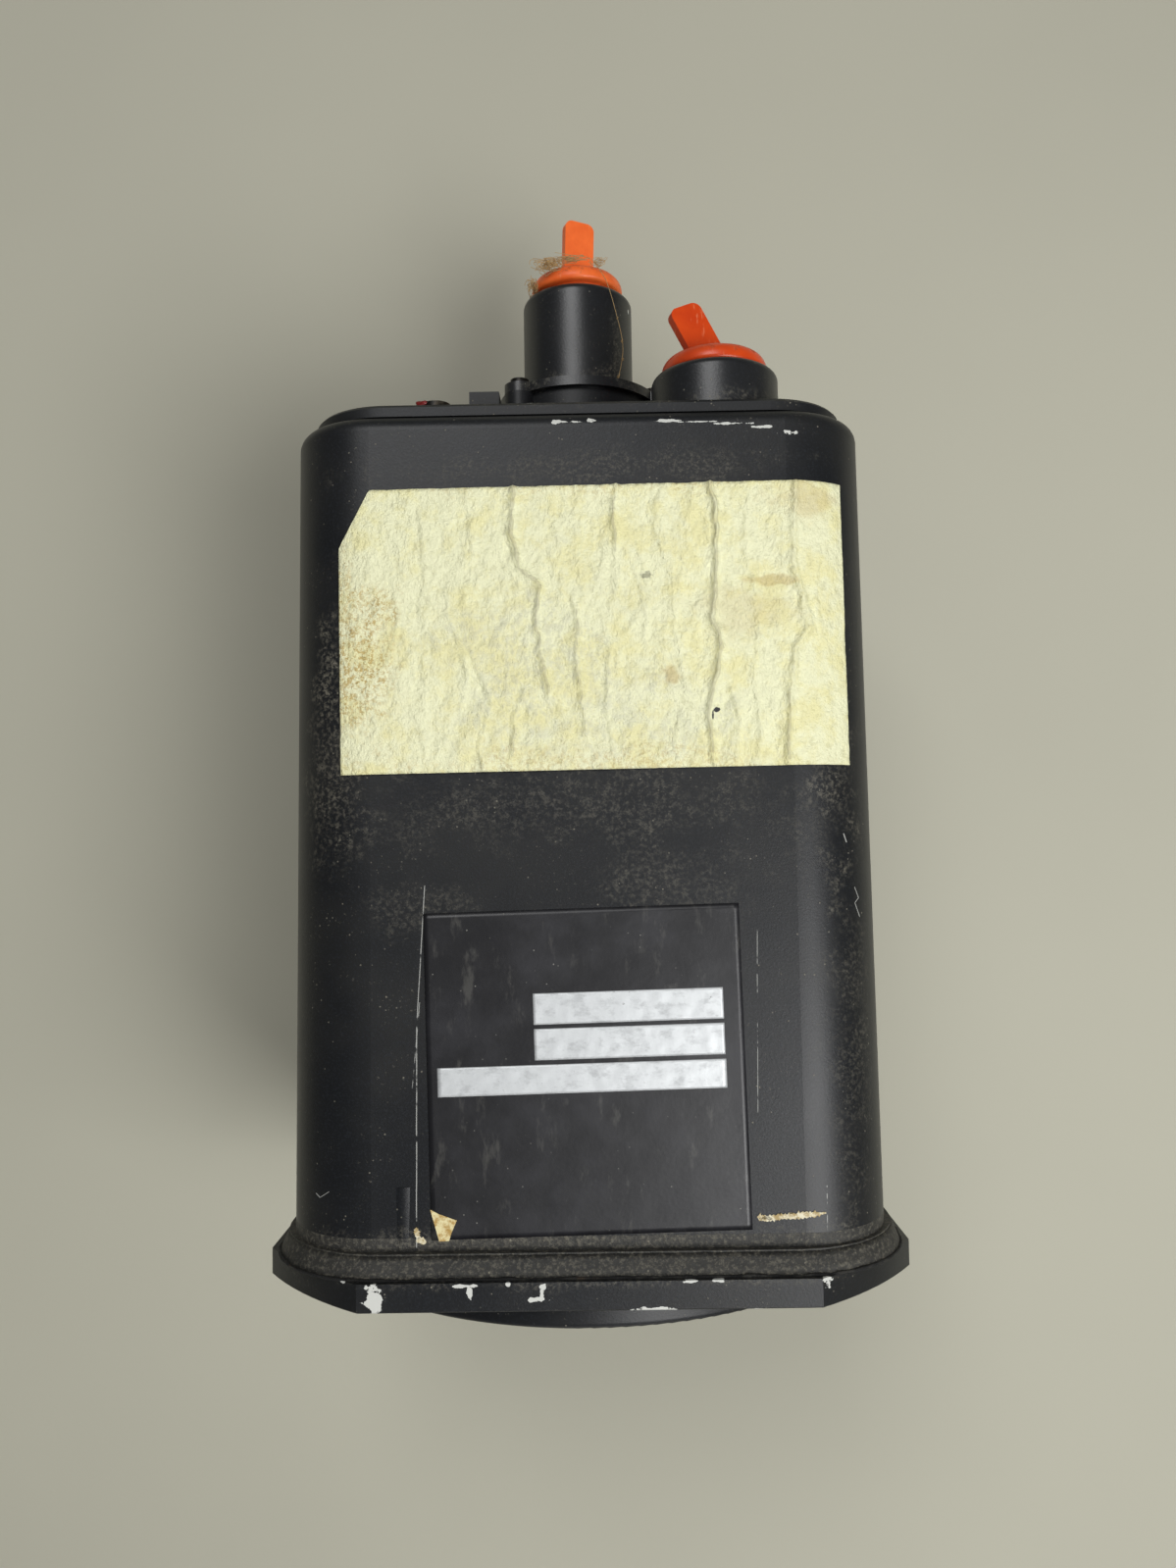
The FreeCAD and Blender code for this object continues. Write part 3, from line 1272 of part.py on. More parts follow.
def balance_weight():
    start = "pitch_axis + rotor_housing_bore + balance_stud_inset"
    stud = cylinder("balance_stud_radius", "balance_stud_length", "0", start, "0")
    weight = cylinder("balance_weight_radius", "balance_weight_thick", "0",
                      "pitch_axis + rotor_housing_radius + balance_weight_gap", "0")
    piece(fuse(stud, weight), "pitch_balance_weight")


def rotor():
    wheel = new_body("rotor_wheel")
    place(wheel, y="pitch_axis")
    bore, hub = "rotor_shaft_radius + thread_gap", "rotor_hub_radius"
    rim = "rotor_radius - rotor_rim"
    upper = [(bore, "rotor_hub_half"), (hub, "rotor_hub_half"), (hub, "rotor_web_half"),
             (rim, "rotor_web_half"), (rim, "rotor_half"), ("rotor_radius", "rotor_half")]
    lower = [(x, "-" + z) for x, z in reversed(upper)]
    turned(wheel, upper + lower, normal="y")
    sketch = new_sketch(wheel, "z", "-bucket_height / 2")
    outer, deep, wide = "rotor_radius + 0.5", "rotor_radius - bucket_depth", "bucket_half_width"
    polygon(sketch, [(outer, "-" + wide), (outer, wide), (deep, wide)])
    bucket = feature(wheel, "Pocket", sketch, Length="bucket_height", Reversed=True)
    pattern = wheel.newObject("PartDesign::PolarPattern", "rotor_buckets")
    pattern.Originals = [bucket]
    pattern.Axis = ([f for f in wheel.Origin.OriginFeatures if f.Role == "Z_Axis"][0], [""])
    pattern.Angle = 360
    bind(pattern, Occurrences="bucket_count")
    wheel.Tip = pattern
    doc.recompute()
    piece(wheel, "rotor_wheel")
    shaft = cylinder("rotor_shaft_radius", "2 * rotor_shaft_half", "0", "pitch_axis", "-rotor_shaft_half",
                     ALONG_Z)
    piece(shaft, "rotor_shaft")


# ---------------------------------------------------------------- pendulous vanes

def vanes():
    top = "(rotor_housing_half + cap_hub_height)"
    half = "vane_block_half"
    block = box(f"2 * {half}", f"2 * {half}", "vane_block_height", f"-{half}", f"pitch_axis - {half}",
                f"-{top} - vane_block_height")
    air = cylinder("vane_air_bore", "vane_block_height - vane_floor", "0", "pitch_axis",
                   f"-{top} - vane_block_height + vane_floor", ALONG_Z)
    upper, lower = f"-{top} - vane_upper_drop", f"-{top} - vane_lower_drop"
    gap = "vane_shaft_radius + running_gap"
    shaft_x = cylinder(gap, f"2 * {half} + 2", f"-{half} - 1", "pitch_axis", upper, ALONG_X)
    shaft_y = cylinder(gap, f"2 * {half} + 2", "0", f"pitch_axis - {half} - 1", lower)
    port = "vane_port_half"
    port_x = box(f"2 * {half} + 2", f"2 * {port}", "vane_port_height", f"-{half} - 1", f"pitch_axis - {port}",
                 f"{upper} - vane_port_drop - vane_port_height")
    port_y = box(f"2 * {port}", f"2 * {half} + 2", "vane_port_height", f"-{port}", f"pitch_axis - {half} - 1",
                 f"{lower} - vane_port_drop - vane_port_height")
    piece(cut(block, air, shaft_x, shaft_y, port_x, port_y), "vane_body")

    reach = f"({half} + vane_gap + vane_thick)"
    tall = "vane_length + vane_above"
    plates = [box("vane_thick", "2 * vane_half_width", tall, x, "pitch_axis - vane_half_width",
                  f"{upper} - vane_length") for x in (f"{half} + vane_gap", f"-{reach}")]
    rod = cylinder("vane_shaft_radius", f"2 * {reach}", f"-{reach}", "pitch_axis", upper, ALONG_X)
    piece(fuse(rod, *plates), "upper_vanes")
    plates = [box("2 * vane_half_width", "vane_thick", "lower_vane_length + vane_above", "-vane_half_width",
                  y, f"{lower} - lower_vane_length")
              for y in (f"pitch_axis + {half} + vane_gap", f"pitch_axis - {reach}")]
    rod = cylinder("vane_shaft_radius", f"2 * {reach}", "0", f"pitch_axis - {reach}", lower)
    piece(fuse(rod, *plates), "lower_vanes")


# ---------------------------------------------------------------- checks and files

def check():
    failed = [item.Name for item in doc.Objects if {"Invalid", "Error"} & set(item.State)]
    for item in PIECES:
        if item.Shape.isNull() or not item.Shape.isValid() or not item.Shape.Solids:
            failed.append(item.Label)
    if failed:
        raise SystemExit("failed: " + ", ".join(sorted(set(failed))))


def write():
    os.makedirs("parts", exist_ok=True)
    for item in PIECES:
        item.Shape.exportStep(os.path.join("parts", item.Label + ".step"))
        print(f"{item.Label:28s} {len(item.Shape.Solids):3d} {item.Shape.Volume:12.2f}")
    print(len(PIECES), "nodes")


def main():
    fill_sheet()
    front_bezel()
    bezel_seal()
    flat_head_screws()
    glass_parts()
    dial_mask()
    airplane_symbol()
    airplane_rack()
    airplane_guide()
    adjuster()
    case_shell()
    rear_cover()
    inlet_tip = inlet_port()
    vacuum_tip = vacuum_port()
    plug("inlet_plug", "0", "0", inlet_tip, "inlet_plug_proud", "inlet_tab_height", "inlet_tab_lean",
         "inlet_tab_twist")
    plug("vacuum_plug", "vacuum_x", "vacuum_z", vacuum_tip, "plug_seat_gap", "vacuum_tab_height",
         "vacuum_tab_lean", "vacuum_tab_twist")
    rear_bearing_housing()
    roll_bearings()
    roll_fork()
    roll_trunnion()
    roll_ring()
    pitch_bushings()
    horizon_drum()
    pitch_trunnions()
    rotor_housing()
    rotor_caps()
    balance_weight()
    rotor()
    vanes()
    doc.recompute()
    check()
    write()


main()
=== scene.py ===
"""Attitude indicator: finishes, labels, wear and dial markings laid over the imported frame."""

import functools
import math

import bmesh
import bpy
from bpy.props import FloatProperty, FloatVectorProperty, PointerProperty
from bpy.types import Operator, Panel, PropertyGroup
from mathutils import Matrix, Vector, noise
from mathutils.bvhtree import BVHTree


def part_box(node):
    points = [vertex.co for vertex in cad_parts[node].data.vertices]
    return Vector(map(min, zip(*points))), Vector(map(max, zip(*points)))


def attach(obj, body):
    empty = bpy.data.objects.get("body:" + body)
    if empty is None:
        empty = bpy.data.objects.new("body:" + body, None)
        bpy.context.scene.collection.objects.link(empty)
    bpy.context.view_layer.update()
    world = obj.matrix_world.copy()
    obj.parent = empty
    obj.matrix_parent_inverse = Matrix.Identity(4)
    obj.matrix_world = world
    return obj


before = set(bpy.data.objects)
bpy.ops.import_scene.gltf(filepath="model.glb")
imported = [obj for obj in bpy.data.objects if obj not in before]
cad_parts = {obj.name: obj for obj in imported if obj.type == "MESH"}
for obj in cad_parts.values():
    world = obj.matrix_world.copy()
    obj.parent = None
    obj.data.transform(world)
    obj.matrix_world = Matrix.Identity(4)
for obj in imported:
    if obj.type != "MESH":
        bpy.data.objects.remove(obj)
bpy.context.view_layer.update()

bl_info = {
    "name": "Attitude indicator finish",
    "version": (1, 0, 0),
    "blender": (4, 5, 0),
    "location": "View3D > Sidebar > Indicator",
    "description": "Paints, labels, wear and dial markings of a vacuum-driven attitude indicator",
    "category": "Object",
}

MM = 0.001
ABOVE = 60 * MM  # a height above the whole object, from which rays drop to its top
UP = Vector((0, 0, 1))


def linear(red, green, blue):
    """Turns a colour given on the usual 0 to 255 scale into the linear values that shaders use."""

    def one(level):
        written = level / 255
        if written <= 0.04045:
            return written / 12.92
        return ((written + 0.055) / 1.055) ** 2.4

    return (one(red), one(green), one(blue), 1.0)


def scaled(colour, times):
    """A colour made darker or lighter, with its opacity left at 1."""
    return [level * times for level in colour[:3]] + [1.0]


# ---------------------------------------------------------------- sizes and colours


def length(name, text, value):
    """A length, given in millimetres and kept in metres."""
    return FloatProperty(name=name, description=text, default=value * MM, unit="LENGTH", precision=5)


def power(name, text, value):
    """A lamp's power in watts."""
    return FloatProperty(name=name, description=text, default=value, unit="POWER")


def angle(name, text, degrees):
    """An angle, given in degrees and kept in radians."""
    return FloatProperty(name=name, description=text, default=math.radians(degrees), subtype="ANGLE")


def share(name, text, value):
    """A share from 0 to 1."""
    return FloatProperty(name=name, description=text, default=value, min=0, max=1, subtype="FACTOR")


def tint(name, text, red, green, blue):
    """A colour, given on the usual 0 to 255 scale."""
    settings = {"name": name, "description": text, "default": linear(red, green, blue)}
    return FloatVectorProperty(size=4, min=0, max=1, subtype="COLOR", **settings)


class IndicatorStageSizes(PropertyGroup):
    """The floor, the lights and the surroundings"""

    floor_size: length("Floor size", "Side of the square floor", 8000.0)
    floor_tint: tint("Floor", "Colour of the plain floor", 186, 184, 167)
    rest_front: length("Front rest", "How far behind the panel face the flange rests", 3.4)
    rest_rear: length("Rear rest", "How far behind the panel face the case's rear edge rests", 108.0)
    key_power: power("Key light", "Power of the soft light on the right", 1.85)
    back_power: power("Back light", "Power of the soft light behind", 2.5)
    front_power: power("Front light", "Power of the soft light on the dial", 1.0)
    world_level: share("Surroundings", "Even light from all round", 0.13)


class IndicatorPaint(PropertyGroup):
    """The enamel of the case and what lies on it"""

    paint_tint: tint("Paint", "Charcoal enamel of the case", 18, 20, 23)
    chip_tint: tint("Chips", "Bare primer where the enamel has chipped", 205, 206, 200)
    dust_tint: tint("Dust", "Settled dust", 138, 133, 118)
    dust_share: share("Dust share", "How much dust lies on the case", 0.6)


class IndicatorPaper(PropertyGroup):
    """The paper label"""

    width: length("Width", "Width of the paper label", 63.6)
    front: length("Front edge", "Distance of the front edge from the panel face", 64.3)
    rear: length("Rear edge", "Distance of the rear edge from the panel face", 100.2)
    middle: length("Middle", "Sideways place of the label's middle", 1.7)
    slant: angle("Slant", "Turn of the label", 0.37)
    cut_side: length("Cut corner, side", "Sideways leg of the cut corner", 4.0)
    cut_length: length("Cut corner, length", "Lengthwise leg of the cut corner", 7.2)
    crease: length("Crease height", "Height of the sharpest creases", 0.72)
    lift: length("Lift", "Thickness of the paper and its glue", 0.1)
    paper_tint: tint("Paper", "Aged cream paper", 241, 241, 201)
    stain_tint: tint("Stains", "Ochre water stains", 188, 158, 86)


class IndicatorPlate(PropertyGroup):
    """The data plate"""

    width: length("Width", "Width of the data plate", 38.9)
    height: length("Length", "Length of the data plate along the case", 39.35)
    middle_x: length("Middle, sideways", "Sideways place of the plate's middle", 0.0)
    middle_y: length("Middle, lengthwise", "Distance of the plate's middle from the panel face", 27.5)
    slant: angle("Slant", "Turn of the plate", 1.1)
    lift: length("Lift", "Thickness of the foil", 0.08)
    plate_tint: tint("Plate", "Black foil", 22, 22, 25)
    field_tint: tint("Fields", "Bare silver of the three blank fields", 210, 213, 214)


class IndicatorPlastic(PropertyGroup):
    """The plugs and the knob"""

    inlet_tint: tint("Inlet plug", "Faded orange plastic", 255, 120, 52)
    vacuum_tint: tint("Vacuum plug", "Orange plastic", 214, 72, 14)
    knob_tint: tint("Knob", "Black knob plastic", 24, 24, 26)


class IndicatorDial(PropertyGroup):
    """The drum, the mask and the airplane symbol"""

    sky_tint: tint("Sky", "Upper half of the drum", 92, 146, 186)
    ground_tint: tint("Ground", "Lower half of the drum", 62, 42, 30)
    mask_tint: tint("Mask", "Matt black of the dial mask", 20, 20, 21)
    mark_tint: tint("Marks", "White of the scales", 236, 234, 226)
    symbol_tint: tint("Symbol", "Orange of the airplane symbol", 240, 120, 36)
    tick_start: length("Tick start", "Radius at which the bank marks start", 27.7)
    tick_short: length("Short tick", "Length of the small bank marks", 2.2)
    tick_long: length("Long tick", "Length of the large bank marks", 3.8)


GROUPS = {
    "indicator_stage": IndicatorStageSizes,
    "indicator_paint": IndicatorPaint,
    "indicator_paper": IndicatorPaper,
    "indicator_plate": IndicatorPlate,
    "indicator_plastic": IndicatorPlastic,
    "indicator_dial": IndicatorDial,
}


# ---------------------------------------------------------------- shader maths


class Shade:
    """A value, colour or vector that varies over a surface. Sums on it add Math nodes."""

    def __init__(self, finish, socket):
        self.finish = finish
        self.socket = socket

    def math(self, operation, *values, **settings):
        inputs = dict(enumerate(values))
        return self.finish.node("ShaderNodeMath", {"operation": operation, **settings}, inputs)

    def __add__(self, other):
        return self.math("ADD", self, other)

    __radd__ = __add__

    def __mul__(self, other):
        return self.math("MULTIPLY", self, other)

    __rmul__ = __mul__

    def __sub__(self, other):
        return self.math("SUBTRACT", self, other)

    def __rsub__(self, other):
        return self.math("SUBTRACT", other, self)

    def __abs__(self):
        return self.math("ABSOLUTE", self)

    def __gt__(self, other):
        return self.math("GREATER_THAN", self, other)

    def __lt__(self, other):
        return self.math("LESS_THAN", self, other)

    def clamp(self):
        return self.math("ADD", self, 0.0, use_clamp=True)

    def most(self, other):
        return self.math("MAXIMUM", self, other)

    def fade(self, start, end, low=0.0, high=1.0):
        """Goes smoothly from low to high while this value goes from start to end."""
        return self.finish.node(
            "ShaderNodeMapRange",
            {"interpolation_type": "SMOOTHSTEP"},
            {"Value": self, "From Min": start, "From Max": end, "To Min": low, "To Max": high},
        )


class Finish:
    """One material: a Principled shader whose colour, gloss and relief come from nodes."""

    def __init__(self, name, roughness=0.5, metallic=0.0, **fixed):
        self.material = bpy.data.materials.new(name)
        self.material.use_nodes = True
        self.tree = self.material.node_tree
        self.tree.nodes.clear()
        self.shader = self.tree.nodes.new("ShaderNodeBsdfPrincipled")
        self.output = self.tree.nodes.new("ShaderNodeOutputMaterial")
        self.tree.links.new(self.shader.outputs[0], self.output.inputs["Surface"])
        self.shader.inputs["Roughness"].default_value = roughness
        self.shader.inputs["Metallic"].default_value = metallic
        for socket, value in fixed.items():
            self.shader.inputs[socket].default_value = value
        metres = self.node("ShaderNodeTexCoord", output="Object")
        self.place = self.vector("MULTIPLY", metres, (1 / MM,) * 3)
        self.x, self.y, self.z = (
            self.node("ShaderNodeSeparateXYZ", inputs={0: self.place}, output=axis) for axis in "XYZ"
        )

    def node(self, kind, settings=None, inputs=None, output=0):
        """Adds a node: its settings first, then the values or links of its sockets."""
        made = self.tree.nodes.new(kind)
        for key, value in (settings or {}).items():
            setattr(made, key, value)
        for key, value in (inputs or {}).items():
            if isinstance(value, Shade):
                self.tree.links.new(value.socket, made.inputs[key])
            else:
                made.inputs[key].default_value = value
        return Shade(self, made.outputs[output])

    def vector(self, operation, first, second):
        return self.node("ShaderNodeVectorMath", {"operation": operation}, {0: first, 1: second})

    def mix(self, factor, first, second):
        """The first colour where factor is 0, the second where it is 1."""
        settings = {"data_type": "RGBA", "clamp_factor": True}
        inputs = {0: factor, 6: first, 7: second}
        return self.node("ShaderNodeMix", settings, inputs, output=2)

    def noise(self, grain, detail=2.0, roughness=0.5, stretch=(1.0, 1.0, 1.0), kind="FBM"):
        """Cloudy noise whose patches are about grain millimetres across."""
        place = self.vector("MULTIPLY", self.place, tuple(1.0 / (grain * s) for s in stretch))
        inputs = {"Vector": place, "Scale": 1.0, "Detail": detail, "Roughness": roughness}
        return self.node("ShaderNodeTexNoise", {"noise_dimensions": "3D", "noise_type": kind}, inputs)

    def cells(self, grain):
        """Distance to the nearest of points scattered about grain millimetres apart."""
        inputs = {"Vector": self.place, "Scale": 1.0 / grain}
        return self.node("ShaderNodeTexVoronoi", {"feature": "F1"}, inputs, output="Distance")

    def spot(self, centre, radii, ragged=0.45, grain=1.2, soft=0.18):
        """1 inside a ragged ellipsoid, 0 outside. Centre and radii are in millimetres."""
        offset = self.vector("SUBTRACT", self.place, centre)
        in_radii = self.vector("DIVIDE", offset, radii)
        away = self.node("ShaderNodeVectorMath", {"operation": "LENGTH"}, {0: in_radii}, output="Value")
        edge = away + (self.noise(grain, 3.0, 0.6) - 0.5) * (2.0 * ragged)
        return edge.fade(1.0, 1.0 - soft)

    def stroke(self, start, end, width, breaks=0.0, grain=2.0):
        """A thin line between two points on the top of the case, given as x and y."""
        run = Vector(end) - Vector(start)
        span = run.length
        along = (self.x - start[0]) * (run.x / span) + (self.y - start[1]) * (run.y / span)
        aside = (self.x - start[0]) * (-run.y / span) + (self.y - start[1]) * (run.x / span)
        wander = (self.noise(6.0, 2.0) - 0.5) * (width * 1.5)
        line = abs(aside + wander).fade(width, width * 0.4)
        ends = (along > 0.0) * (along < span)
        if breaks:
            line = line * self.noise(grain, 3.0, 0.6).fade(breaks - 0.04, breaks + 0.06)
        return line * ends

    def colour(self, value):
        self.connect(value, "Base Color")

    def gloss(self, value):
        self.connect(value, "Roughness")

    def connect(self, value, socket):
        if isinstance(value, Shade):
            self.tree.links.new(value.socket, self.shader.inputs[socket])
        else:
            self.shader.inputs[socket].default_value = value

    def relief(self, height, depth, strength=1.0):
        """Bumps the surface by height, a value from 0 to 1, times depth in millimetres."""
        inputs = {"Height": height, "Distance": depth * MM, "Strength": strength}
        self.connect(self.node("ShaderNodeBump", inputs=inputs, output="Normal"), "Normal")


# ---------------------------------------------------------------- making pieces


def dress(finish, *names):
    """Gives CAD nodes a finish."""
    for name in names:
        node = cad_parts[name]
        node.data.materials.clear()
        node.data.materials.append(finish.material)


def add_piece(name, shape, finish, body, smooth=True):
    """Makes an object from a bmesh and lets it ride on a body."""
    mesh = bpy.data.meshes.new(name)
    shape.normal_update()
    shape.to_mesh(mesh)
    shape.free()
    for face in mesh.polygons:
        face.use_smooth = smooth
    piece = bpy.data.objects.new(name, mesh)
    bpy.context.scene.collection.objects.link(piece)
    mesh.materials.append(finish.material)
    if body:
        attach(piece, body)
    return piece


def top_finder(name):
    """Returns a function that gives the top of a CAD node at x and y, in metres, and its normal."""
    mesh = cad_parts[name].data
    corners = [vertex.co.copy() for vertex in mesh.vertices]
    tree = BVHTree.FromPolygons(corners, [list(face.vertices) for face in mesh.polygons])

    def find(x, y):
        point, normal, _, _ = tree.ray_cast(Vector((x, y, ABOVE)), -UP)
        if point is None:
            raise RuntimeError(f"{name} has no top at {x}, {y}")
        return point, normal

    return find


def grid_sheet(columns, rows, place, thickness):
    """A thin closed sheet: place(u, v) gives the upper surface for u and v from 0 to 1."""
    shape = bmesh.new()
    upper, lower = [], []
    for row in range(rows + 1):
        for column in range(columns + 1):
            point = place(column / columns, row / rows)
            upper.append(shape.verts.new(point))
            lower.append(shape.verts.new(point - UP * thickness))

    def corner(side, column, row):
        return side[row * (columns + 1) + column]

    for row in range(rows):
        for column in range(columns):
            ring = [(column, row), (column + 1, row), (column + 1, row + 1), (column, row + 1)]
            shape.faces.new([corner(upper, *at) for at in ring])
            shape.faces.new([corner(lower, *at) for at in reversed(ring)])
    outline = [(c, 0) for c in range(columns)] + [(columns, r) for r in range(rows)]
    outline += [(c, rows) for c in range(columns, 0, -1)] + [(0, r) for r in range(rows, 0, -1)]
    for at, after in zip(outline, outline[1:] + outline[:1]):
        rim = ((lower, at), (lower, after), (upper, after), (upper, at))
        shape.faces.new([corner(side, *where) for side, where in rim])
    return shape


def joined_rings(rings):
    """A closed skin through rings of points, each joined to the next and the last to the first."""
    shape = bmesh.new()
    made = [[shape.verts.new(point) for point in ring] for ring in rings]
    for number, ring in enumerate(made):
        following = made[(number + 1) % len(made)]
        for index in range(len(ring)):
            beyond = (index + 1) % len(ring)
            shape.faces.new([ring[index], ring[beyond], following[beyond], following[index]])
    bmesh.ops.recalc_face_normals(shape, faces=shape.faces)
    return shape


def closed_tube(points, radius_at, sides=6):
    """A tube through a ring of points, whose radius is radius_at(index)."""
    slanted = Vector((0.13, 0.29, 0.95))  # no run of the ring lies along it
    rings = []
    for index, point in enumerate(points):
        along = (points[(index + 1) % len(points)] - points[index - 1]).normalized()
        side = along.cross(slanted).normalized()
        up = side.cross(along).normalized()
        radius = radius_at(index)
        angles = [math.tau * step / sides for step in range(sides)]
        rings.append([point + (side * math.cos(a) + up * math.sin(a)) * radius for a in angles])
    return joined_rings(rings)


def flat_outline(shape, points, thickness, push):
    """Adds a thin prism on the outline points, thick towards push, to a bmesh."""
    bottom = [shape.verts.new(point) for point in points]
    top = [shape.verts.new(point + push * thickness) for point in points]
    shape.faces.new(top)
    shape.faces.new(list(reversed(bottom)))
    for index in range(len(points)):
        following = (index + 1) % len(points)
        shape.faces.new([bottom[index], bottom[following], top[following], top[index]])


def distance_to_line(x, y, line):
    """Distance from a point to a line of straight runs, all in millimetres."""
    least = 1e9
    for (ax, ay), (bx, by) in zip(line, line[1:]):
        run_x, run_y = bx - ax, by - ay
        along = ((x - ax) * run_x + (y - ay) * run_y) / (run_x**2 + run_y**2)
        along = min(1.0, max(0.0, along))
        least = min(least, math.hypot(x - ax - along * run_x, y - ay - along * run_y))
    return least


# ---------------------------------------------------------------- stage

CASE_DRAFT = math.radians(0.43)  # how far the case's sides lean in towards the rear
BAND_HEIGHT = 1.05 * MM  # how far the band round the case's front stands out from its sides
CAMERA_PLACE = (1.793, 54.257, 183.543)  # in millimetres
CAMERA_TURN = (("Z", 0.934), ("Y", -0.405), ("X", -3.242))  # in degrees, from the world to the view
LENS = 27.04  # focal length on a film 36 mm wide


class INDICATOR_OT_stage(Operator):
    """Sets the floor, the lights, the surroundings and the camera"""

    bl_idname = "indicator.stage"
    bl_label = "Stage"

    def execute(self, context):
        scene = context.scene
        sizes = scene.indicator_stage
        self.add_floor(sizes)
        self.add_world(scene, sizes)
        self.add_light("key_light", (0.22, -0.10, 0.42), 0.26, sizes.key_power)
        self.add_light("back_light", (-0.16, 0.5, 0.75), 0.36, sizes.back_power)
        self.add_light("front_light", (0.15, -0.9, 0.15), 0.6, sizes.front_power)
        self.add_camera(scene)
        scene.view_settings.view_transform = "Standard"
        return {"FINISHED"}

    def floor_place(self, sizes):
        """Where the floor stands: under the flange's lower edge and the case's rear lower edge."""
        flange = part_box("front_bezel")[0].z
        half = abs(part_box("case_shell")[0].z) - BAND_HEIGHT
        rear = -(half - math.tan(CASE_DRAFT) * sizes.rest_rear)
        slope = math.atan2(rear - flange, sizes.rest_rear - sizes.rest_front)
        return Vector((0, sizes.rest_front, flange)), slope

    def add_floor(self, sizes):
        finish = Finish("floor_paint", roughness=0.75)
        cloud = finish.noise(90.0, 3.0).fade(0.3, 0.7)
        finish.colour(finish.mix(cloud, sizes.floor_tint, scaled(sizes.floor_tint, 0.965)))
        finish.relief(finish.noise(1.5, 3.0), 0.05, 0.4)
        place, slope = self.floor_place(sizes)
        shape = bmesh.new()
        bmesh.ops.create_grid(shape, x_segments=8, y_segments=8, size=sizes.floor_size / 2)
        floor = add_piece("floor", shape, finish, None)
        floor.matrix_world = Matrix.Translation(place) @ Matrix.Rotation(slope, 4, "X")

    def add_world(self, scene, sizes):
        world = bpy.data.worlds.new("soft_surroundings")
        world.use_nodes = True
        background = world.node_tree.nodes["Background"]
        background.inputs["Color"].default_value = (1.0, 0.995, 0.985, 1.0)
        background.inputs["Strength"].default_value = sizes.world_level
        scene.world = world

    def add_light(self, name, place, size, watts):
        lamp = bpy.data.lights.new(name, "AREA")
        lamp.shape = "SQUARE"
        lamp.size = size
        lamp.energy = watts
        light = bpy.data.objects.new(name, lamp)
        light.location = place
        aim = Vector((0, 60 * MM, 0)) - Vector(place)
        light.rotation_euler = aim.to_track_quat("-Z", "Y").to_euler()
        bpy.context.scene.collection.objects.link(light)

    def add_camera(self, scene):
        lens = bpy.data.cameras.new("camera")
        lens.sensor_width = 36.0
        lens.lens = LENS
        lens.clip_start = 0.005
        lens.clip_end = 30.0
        camera = bpy.data.objects.new("camera", lens)
        turn = Matrix.Identity(4)
        for axis, degrees in CAMERA_TURN:
            turn = turn @ Matrix.Rotation(math.radians(degrees), 4, axis)
        camera.matrix_world = Matrix.Translation(Vector(CAMERA_PLACE) * MM) @ turn.inverted()
        scene.collection.objects.link(camera)
        scene.camera = camera


# ---------------------------------------------------------------- painted case

SAND_CAST = (3.0, 7.7)  # the rough stretch behind the flange, from the panel face back


def settled_dust(finish, paint, grime):
    """Fine dust all over, thicker in the ellipsoids of grime, given as (centre, radii, amount)."""
    salt = finish.noise(0.42, 2.0, 0.7).fade(0.62, 0.74) * finish.noise(8.0, 4.0, 0.7).fade(0.44, 0.70)
    speck = finish.cells(1.1).fade(0.13, 0.05) * finish.noise(4.0, 3.0, 0.65).fade(0.46, 0.58)
    dust = (salt * 0.55 + speck) * paint.dust_share
    for centre, radii, amount in grime:
        dirt = finish.spot(centre, radii, ragged=1.1, grain=5.0, soft=0.8)
        dust = dust + dirt * finish.noise(0.55, 4.0, 0.75).fade(0.44, 0.70) * amount
    return dust


def wear(finish, chips, strokes):
    """Where the paint is gone: chips are (centre, radii), strokes are (start, end, width, breaks)."""
    marks = [finish.spot(centre, radii, ragged=1.25, grain=0.9, soft=0.12) for centre, radii in chips]
    marks += [finish.stroke(*stroke) * 0.62 for stroke in strokes]
    return functools.reduce(Shade.most, marks) if marks else None


def enamel(name, paint, roughness, chips=(), strokes=(), grime=(), cast=None):
    """Worn charcoal enamel, rough between the two distances from the panel face in cast."""
    finish = Finish(name, roughness=roughness, **{"Specular IOR Level": 0.36})
    cloud = finish.noise(16.0, 3.0, 0.55)
    grain = finish.noise(0.3, 2.0, 0.6)
    dusty = [0.97 * a + 0.03 * b for a, b in zip(paint.paint_tint, paint.dust_tint)]
    colour = finish.mix(cloud.fade(0.35, 0.75), paint.paint_tint, dusty)
    colour = finish.mix(grain.fade(0.48, 0.7) * 0.6, colour, scaled(paint.paint_tint, 2.5))
    dust = settled_dust(finish, paint, grime)
    height = grain * 0.45
    gloss = roughness + (cloud - 0.5) * 0.12
    if cast:
        rough = (finish.y > cast[0]) * (finish.y < cast[1])
        grit = finish.noise(0.5, 3.0, 0.75)
        dust = dust + rough * (grit.fade(0.46, 0.68) * 0.30 + finish.noise(2.5, 3.0, 0.6) * 0.16)
        gloss = gloss + rough * 0.12
        height = height + rough * grit * 2.4
    dust = dust.clamp()
    colour = finish.mix(dust, colour, paint.dust_tint)
    gloss = gloss + dust * 0.3
    height = height + dust * 0.5
    worn = wear(finish, chips, strokes)
    if worn:
        colour = finish.mix(worn, colour, paint.chip_tint)
        gloss = gloss + worn * 0.15
        height = height - worn * 0.8
    finish.colour(colour)
    finish.gloss(gloss.clamp())
    finish.relief(height, 0.06, 0.6)
    return finish


